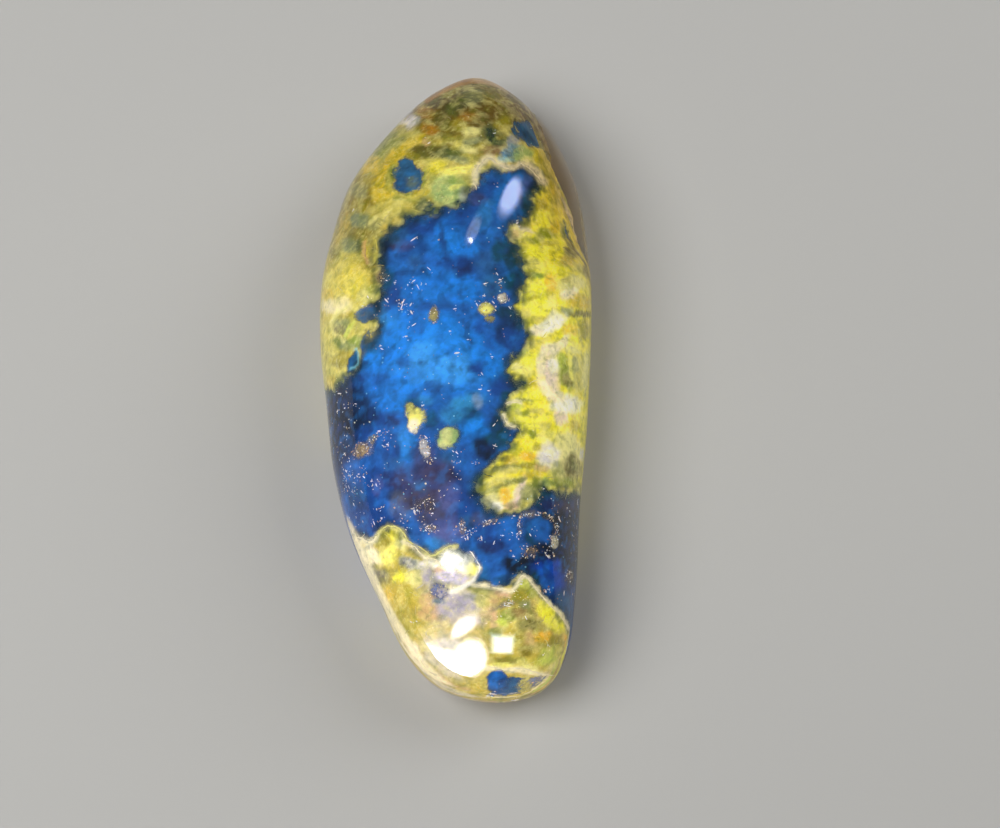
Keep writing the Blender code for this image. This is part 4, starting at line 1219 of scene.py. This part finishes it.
class Growth:
    """A Geometry Nodes tree that is built up node by node."""

    def __init__(self, name, inputs):
        self.tree = bpy.data.node_groups.new(name, "GeometryNodeTree")
        self.sockets = {}
        for label, kind in [("Geometry", "Geometry"), *inputs, ("Material", "Material")]:
            socket = self.tree.interface.new_socket(
                label, in_out="INPUT", socket_type="NodeSocket" + kind
            )
            self.sockets[label] = socket.identifier
        self.tree.interface.new_socket(
            "Geometry", in_out="OUTPUT", socket_type="NodeSocketGeometry"
        )
        self.given = self.tree.nodes.new("NodeGroupInput").outputs
        self.result = self.tree.nodes.new("NodeGroupOutput")

    def node(self, kind, settings, sockets):
        """A new node with its settings made first and its sockets set or linked after."""
        node = self.tree.nodes.new(kind)
        for name, value in settings.items():
            setattr(node, name, value)
        for name, value in sockets.items():
            if isinstance(value, bpy.types.NodeSocket):
                self.tree.links.new(value, node.inputs[name])
            else:
                node.inputs[name].default_value = value
        return node

    def level(self, name):
        """A named level of the mesh that the tree is given."""
        kind = "GeometryNodeInputNamedAttribute"
        return self.node(kind, {"data_type": "FLOAT"}, {"Name": name}).outputs["Attribute"]

    def chance(self, low, high, seed, kind="FLOAT"):
        """A random level or vector for every point."""
        first = 0 if kind == "FLOAT_VECTOR" else 2
        sockets = {first: low, first + 1: high, "Seed": seed}
        node = self.node("FunctionNodeRandomValue", {"data_type": kind}, sockets)
        return node.outputs[first // 2]

    def end(self, geometry):
        """Ends the tree in real meshes with their material."""
        real = self.node("GeometryNodeRealizeInstances", {}, {"Geometry": geometry})
        dressed = self.node(
            "GeometryNodeSetMaterial",
            {},
            {"Geometry": real.outputs[0], "Material": self.given["Material"]},
        )
        self.tree.links.new(dressed.outputs[0], self.result.inputs[0])

    def grow(self, name, mesh, material, values):
        """A plain object of what the tree makes from a mesh."""
        base = bpy.data.objects.new(name + "_base", mesh)
        bpy.context.scene.collection.objects.link(base)
        modifier = base.modifiers.new(name, "NODES")
        modifier.node_group = self.tree
        for label, value in values.items():
            modifier[self.sockets[label]] = value
        modifier[self.sockets["Material"]] = material
        depsgraph = bpy.context.evaluated_depsgraph_get()
        grown = bpy.data.meshes.new_from_object(base.evaluated_get(depsgraph))
        grown.name = name
        bpy.data.objects.remove(base)
        bpy.data.meshes.remove(mesh)
        piece = bpy.data.objects.new(name, grown)
        bpy.context.scene.collection.objects.link(piece)
        return piece


def tube_growth():
    """Thin tubes along edges, as thick as the width kept at each point."""
    growth = Growth("tubes", [("Sides", "Int")])
    curve = growth.node("GeometryNodeMeshToCurve", {}, {"Mesh": growth.given["Geometry"]})
    section = growth.node(
        "GeometryNodeCurvePrimitiveCircle",
        {"mode": "RADIUS"},
        {"Resolution": growth.given["Sides"], "Radius": 1.0},
    )
    tubes = growth.node(
        "GeometryNodeCurveToMesh",
        {},
        {
            "Curve": curve.outputs[0],
            "Profile Curve": section.outputs[0],
            "Scale": growth.level("width"),
            "Fill Caps": True,
        },
    )
    smooth = growth.node("GeometryNodeSetShadeSmooth", {}, {"Geometry": tubes.outputs[0]})
    growth.end(smooth.outputs[0])
    return growth


def grain_growth():
    """Small angular grains strewn where a surface is dusty, some way up in the clear resin."""
    inputs = ("Density", "Smallest", "Largest", "Lift")
    growth = Growth("grains", [(label, "Float") for label in inputs] + [("Seed", "Int")])
    given = growth.given
    density = growth.node(
        "ShaderNodeMath", {"operation": "MULTIPLY"}, {0: growth.level("dust"), 1: given["Density"]}
    )
    strewn = growth.node(
        "GeometryNodeDistributePointsOnFaces",
        {"distribute_method": "RANDOM"},
        {"Mesh": given["Geometry"], "Density": density.outputs[0], "Seed": given["Seed"]},
    )
    lift = growth.node(
        "ShaderNodeVectorMath",
        {"operation": "SCALE"},
        {0: strewn.outputs["Normal"], "Scale": growth.chance(0.0, given["Lift"], 1)},
    )
    raised = growth.node(
        "GeometryNodeSetPosition",
        {},
        {"Geometry": strewn.outputs["Points"], "Offset": lift.outputs[0]},
    )
    crystal = growth.node("GeometryNodeMeshIcoSphere", {}, {"Radius": 1.0, "Subdivisions": 1})
    low, high = (
        growth.node("ShaderNodeCombineXYZ", {}, {axis: given[label] for axis in "XYZ"}).outputs[0]
        for label in ("Smallest", "Largest")
    )
    placed = growth.node(
        "GeometryNodeInstanceOnPoints",
        {},
        {
            "Points": raised.outputs[0],
            "Instance": crystal.outputs[0],
            "Rotation": growth.chance((0, 0, 0), (6.28, 6.28, 6.28), 3, "FLOAT_VECTOR"),
            "Scale": growth.chance(low, high, 2, "FLOAT_VECTOR"),
        },
    )
    shaded = growth.node(
        "GeometryNodeStoreNamedAttribute",
        {"data_type": "FLOAT", "domain": "INSTANCE"},
        {"Geometry": placed.outputs[0], "Name": "shade", "Value": growth.chance(0.0, 1.0, 4)},
    )
    growth.end(shaded.outputs[0])
    return growth


# Pale lines, threads and grains

LINE_WIDTH = 0.3
SLIVER_WIDTH = 0.55
THREAD_COUNT = 450
THREAD_STEP = 0.06
THREAD_STEPS = 8
THREAD_LIFT = 0.004
THREAD_WANDER = 0.35
LEAST_CREST = 0.06
LINE_LIFT = 0.01
SLIVER_LIFT = (0.01, 0.08)


def settled(px, py, skin_tree, trees):
    """The place and outward direction on the inside that shows at a pixel, if any does."""
    direction = sight(px, py)
    spot, normal, _, _ = skin_tree.ray_cast(EYE, direction)
    if spot is None:
        return None
    inward = bent(direction, normal, 1 / AMBER_IOR)
    hits = [hit for hit in (tree.ray_cast(spot, inward) for tree in trees) if hit[0] is not None]
    return min(hits, key=lambda hit: hit[3])[:2] if hits else None


def strand_mesh(name, strands):
    """Edges along every strand, with a width and a tint at each point."""
    points, edges, widths, tints = [], [], [], []
    for places, thickness, tint in strands:
        edges += [(len(points) + i, len(points) + i + 1) for i in range(len(places) - 1)]
        points += [tuple(place * MM) for place in places]
        widths += [width * MM for width in thickness]
        tints += [(*tint, 1.0)] * len(places)
    mesh = bpy.data.meshes.new(name)
    mesh.from_pydata(points, edges, [])
    mesh.attributes.new("width", "FLOAT", "POINT").data.foreach_set("value", widths)
    layer = mesh.color_attributes.new("tint", "FLOAT_COLOR", "POINT")
    layer.data.foreach_set("color", np.ravel(tints))
    return mesh


def tapered(count, width, seed):
    """Widths along a strand, thin at both ends and very uneven between them."""
    widths = []
    for i in range(count):
        share = i / (count - 1)
        uneven = max(0.15, 1 + 1.6 * noise.noise(Vector((i * 0.45, seed * 3.7, 1.3))))
        widths.append(width * uneven * (0.3 + 0.7 * math.sin(math.pi * share) ** 0.5))
    return widths


def make_lines(skin_tree, heart_tree, crust_tree):
    """The pale healed cracks and crests, as raised lines on the inside."""
    strands = []
    for seed, (half_width, colour, points) in enumerate(PALE_LINES):
        places = []
        for i, (px, py) in enumerate(smooth_line(points)):
            stray = [1.1 * noise.noise(Vector((i * 0.5, seed * 5.1, k))) for k in (0, 9)]
            found = settled(px + stray[0], py + stray[1], skin_tree, (heart_tree, crust_tree))
            if found:
                places.append(found[0] + found[1] * LINE_LIFT)
        width = half_width * PIXEL * LINE_WIDTH
        strands.append((places, tapered(len(places), width, seed), linear(colour)))
    mesh = strand_mesh("pale_lines", strands)
    return tube_growth().grow("pale_lines", mesh, pale_resin("healed_cracks", 0.15), {"Sides": 8})


def make_glint_slivers(skin_tree, heart_tree, crust_tree):
    """Bright glowing slivers as painted glints, and the clusters of grains just over the cloudy inside, whose
    glow is painted sparkle.
    """
    rng = np.random.default_rng(11)
    tints = [linear(colour) for colour in (PEARL, IVORY, SPARK, PEACH, CREAM, TAN, BROWN, WHITE)]
    specks = []
    for x, y, half_length, half_width, turn in GLINTS:
        specks.append((x, y, half_length, half_width, turn, tints[len(specks) % 3]))
        for _ in range(2):
            near = rng.normal(0, 1.5 * half_length, 2)
            sizes = rng.uniform(0.3, 0.7, 2)
            way = rng.uniform(0, 180)
            specks.append((x + near[0], y + near[1], *sizes, way, tints[rng.integers(5)]))
    for x, y, half_width, half_height, turn, count in CLUSTERS:
        turn = math.radians(turn)
        for _ in range(count):
            reach, angle = math.sqrt(rng.random()), rng.uniform(0, 2 * math.pi)
            dx, dy = half_width * reach * math.cos(angle), half_height * reach * math.sin(angle)
            px = x + dx * math.cos(turn) - dy * math.sin(turn)
            py = y + dx * math.sin(turn) + dy * math.cos(turn)
            sizes = rng.uniform(0.3, 1.2), rng.uniform(0.3, 0.8)
            specks.append((px, py, *sizes, rng.uniform(0, 180), tints[rng.integers(8)]))
    strands = []
    for px, py, half_length, half_width, turn, tint in specks:
        found = settled(px, py, skin_tree, (heart_tree, crust_tree))
        if found:
            place, outward = found
            way = Vector((math.cos(math.radians(turn)), -math.sin(math.radians(turn)), 0))
            way = (way - outward * way.dot(outward)).normalized() * half_length * PIXEL
            middle = place + outward * rng.uniform(*SLIVER_LIFT)
            places = [middle + way * share for share in (-1.0, -0.5, 0.0, 0.5, 1.0)]
            width = half_width * PIXEL * SLIVER_WIDTH
            strands.append((places, [width * share for share in (0.3, 0.9, 1.0, 0.8, 0.2)], tint))
    mesh = strand_mesh("glint_slivers", strands)
    return tube_growth().grow("glint_slivers", mesh, pale_resin("bright_specks", 0.5), {"Sides": 6})


def make_threads(crust, heart_tree, crust_tree):
    """Fine wrinkles and threads all over the crust, paler where the crust is bright: partly its fibres and
    partly painted glints on its crinkles.
    """
    rng = np.random.default_rng(7)
    count = len(crust.data.vertices)
    spots = np.empty(count * 3)
    crust.data.vertices.foreach_get("co", spots)
    spots = spots.reshape(-1, 3) / MM
    tints = np.empty(count * 4)
    crust.data.color_attributes["tint"].data.foreach_get("color", tints)
    tints = tints.reshape(-1, 4)[:, :3]
    strands = []
    while len(strands) < THREAD_COUNT:
        start = rng.integers(count)
        place = Vector(spots[start])
        heading = Vector(rng.normal(size=3))
        # Threads on bright crust are mixed towards pale straw or cream as painted glints.
        pale = linear(PALE_STRAW if rng.random() < 0.6 else CREAM)
        share = 0.4 * min(1.0, tints[start].max() / PALE_LEVEL) ** 2
        tint = tints[start] * (1 - share) + pale * share
        places = []
        for _ in range(THREAD_STEPS):
            near, outward, _, _ = crust_tree.find_nearest(place)
            below, up, _, _ = heart_tree.find_nearest(near)
            if (near - below).dot(up) < LEAST_CREST:
                break
            places.append(near + outward * THREAD_LIFT)
            at = near / THREAD_WANDER
            drift = Vector([noise.noise(at + Vector((k, 4.0, 2.0))) for k in (0, 7, 13)])
            heading = (heading + drift * 0.7).normalized()
            heading = (heading - outward * heading.dot(outward)).normalized()
            place = near + heading * THREAD_STEP
        if len(places) > 4:
            widths = tapered(len(places), rng.uniform(0.006, 0.016), len(strands))
            strands.append((places, widths, tint))
    mesh = strand_mesh("crust_threads", strands)
    return tube_growth().grow("crust_threads", mesh, pale_resin("pale_threads", 0.15), {"Sides": 5})


def make_grains(heart, name, density, smallest, largest, lift, seed):
    """Grains of mineral and bark dust caught in the clear resin over the blue heart."""
    sizes = {
        "Density": density / MM**2,
        "Smallest": smallest * MM,
        "Largest": largest * MM,
        "Lift": lift * MM,
        "Seed": seed,
    }
    return grain_growth().grow(name, heart.data.copy(), grain_mineral(), sizes)


skin, skin_tree = make_skin()
heart, crust, heart_tree, crust_tree = make_inside(skin_tree)
lines = make_lines(skin_tree, heart_tree, crust_tree)
glint_slivers = make_glint_slivers(skin_tree, heart_tree, crust_tree)
threads = make_threads(crust, heart_tree, crust_tree)
# The glints are small grains strewn thickly, whose glow is painted sparkle.
glints = make_grains(heart, "glints", 12.0, 0.008, 0.026, 0.3, 5)
grains = make_grains(heart, "grains", 1.5, 0.02, 0.045, 0.12, 8)
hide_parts("amber")
for piece in (skin, heart, crust, lines, glint_slivers, threads, glints, grains):
    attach(piece, "root")


# The studio

GLARE_DISTANCE = 100.0
# The rings of a glare: the widest one's share of its size, how far they narrow, and the gap
RING_WIDEST, RING_FALL, RING_GAP = 1.2, 0.5, 0.2
FLOOR_HALF = 400.0
FLOOR_DROP = 0.01
WORLD_BRIGHTNESS = 0.08
SOFTBOX_SIDE = 120
# The softboxes that light the stone: name, place and radiance
SOFTBOXES = [("key", (-90, -20, 150), 8.0), ("fill", (120, 60, 110), 4.0)]
# Each glare as it shows on the polish: its name and shape, its place, half width, half height and
# turn in pixels of the photograph, its radiance and colour, and how many rings soften its edge
GLARES = [
    ("glare_end", "ELLIPSE", 444, 660, 35, 15, 27, 60, (1.0, 1.0, 1.0), 5),
    ("glare_lobe", "ELLIPSE", 471, 658, 16, 16, 0, 60, (1.0, 1.0, 1.0), 5),
    ("glare_top", "ELLIPSE", 463, 628, 16, 9, -30, 24, (0.92, 0.9, 1.0), 7),
    ("glare_halo", "ELLIPSE", 445, 652, 38, 27, 25, 6, (0.84, 0.78, 1.0), 7),
    ("glare_bulge", "ELLIPSE", 454, 561, 17, 12, 20, 7, (1.0, 0.97, 1.0), 6),
    ("glare_window", "RECTANGLE", 503, 644, 11.5, 9.5, 0, 26, (0.8, 0.96, 1.0), 6),
    ("glare_tip", "ELLIPSE", 511, 196, 9.5, 22, 20, 12, (0.74, 0.76, 1.0), 9),
    ("glare_upper", "ELLIPSE", 473, 231, 6, 16, 22, 3.2, (0.8, 0.86, 1.0), 9),
    ("glare_spot", "ELLIPSE", 470, 241, 3, 4, 0, 16, (0.9, 0.92, 1.0), 4),
]


def make_floor():
    mesh = bpy.data.meshes.new("floor")
    half = FLOOR_HALF * MM
    corners = [(-half, -half), (half, -half), (half, half), (-half, half)]
    mesh.from_pydata([(x, y, -FLOOR_DROP * MM) for x, y in corners], [], [(0, 1, 2, 3)])
    floor = bpy.data.objects.new("floor", mesh)
    bpy.context.scene.collection.objects.link(floor)
    finish = Finish("pale_floor")
    finish.set(base_color=(0.37, 0.365, 0.35, 1), roughness=0.9, specular_ior_level=0.0)
    mesh.materials.append(finish.material)


def make_light(name, shape, place, turn, width, height, radiance, colour=(1, 1, 1), glare=False):
    """A softbox. One for a glare shows only as a reflection in the polish."""
    data = bpy.data.lights.new(name, "AREA")
    data.shape = shape
    data.size, data.size_y = width * MM, height * MM
    area = width * height * MM**2 * (math.pi / 4 if shape == "ELLIPSE" else 1)
    data.energy = radiance * math.pi * area
    data.color = colour
    light = bpy.data.objects.new(name, data)
    light.location = place * MM
    light.rotation_mode = "QUATERNION"
    light.rotation_quaternion = turn
    light.visible_camera = False
    light.visible_glossy = glare
    light.visible_diffuse = not glare
    light.visible_transmission = not glare
    bpy.context.scene.collection.objects.link(light)


def mirrored(skin_tree, px, py):
    """The ray that the skin mirrors to the camera at a pixel of the photograph."""
    direction = sight(px, py)
    spot, normal, _, _ = skin_tree.ray_cast(EYE, direction)
    return spot, direction - normal * 2 * direction.dot(normal)


def make_glare(skin_tree, name, shape, px, py, half_width, half_height, turn, radiance, colour, rings):
    """Softboxes one before the other, of the size and turn that the skin mirrors as the glare."""
    spot, ray = mirrored(skin_tree, px, py)
    turn = math.radians(turn)
    ends = []
    for dx, dy in (
        (math.cos(turn) * half_width, math.sin(turn) * half_width),
        (-math.sin(turn) * half_height, math.cos(turn) * half_height),
    ):
        for way in (-1, 1):
            near, side_ray = mirrored(skin_tree, px + way * dx, py + way * dy)
            share = (GLARE_DISTANCE - (near - spot).dot(ray)) / side_ray.dot(ray)
            ends.append(near + side_ray * share)
    middle = sum(ends, Vector()) / 4
    spans = [(ends[1] - ends[0]) / 2, (ends[3] - ends[2]) / 2]
    across = spans[0].normalized()
    upright = ray.cross(across)
    width, height = spans[0].length, abs(spans[1].dot(upright))
    if shape == "ELLIPSE":
        flat = np.array([[span.dot(way) for span in spans] for way in (across, upright)])
        turned, (width, height), _ = np.linalg.svd(flat)
        across = across * turned[0, 0] + upright * turned[1, 0]
        upright = ray.cross(across)
    facing = Matrix((across, upright, ray)).transposed().to_quaternion()
    shares = [(i + 1) ** 2 for i in range(rings)]
    for i, share in enumerate(shares):
        size = RING_WIDEST - RING_FALL * (i / (rings - 1)) ** 1.5
        place = middle - ray * RING_GAP * i
        sizes = (2 * width * size, 2 * height * size, radiance * share / sum(shares))
        make_light(f"{name}_{i}", shape, place, facing, *sizes, colour, True)


def aimed(place):
    """The turn of a softbox that faces the middle of the stone."""
    return (Vector((0, 0, 3)) - place).to_track_quat("-Z", "Y")


def make_world(brightness):
    world = bpy.data.worlds.new("studio")
    world.use_nodes = True
    background = world.node_tree.nodes["Background"]
    background.inputs["Color"].default_value = (1, 1, 1, 1)
    background.inputs["Strength"].default_value = brightness
    bpy.context.scene.world = world


make_camera()
make_floor()
make_world(WORLD_BRIGHTNESS)
for name, place, radiance in SOFTBOXES:
    place = Vector(place)
    make_light(name, "RECTANGLE", place, aimed(place), SOFTBOX_SIDE, SOFTBOX_SIDE, radiance)
for glare in GLARES:
    make_glare(skin_tree, *glare)
bpy.context.scene.view_settings.view_transform = "Standard"
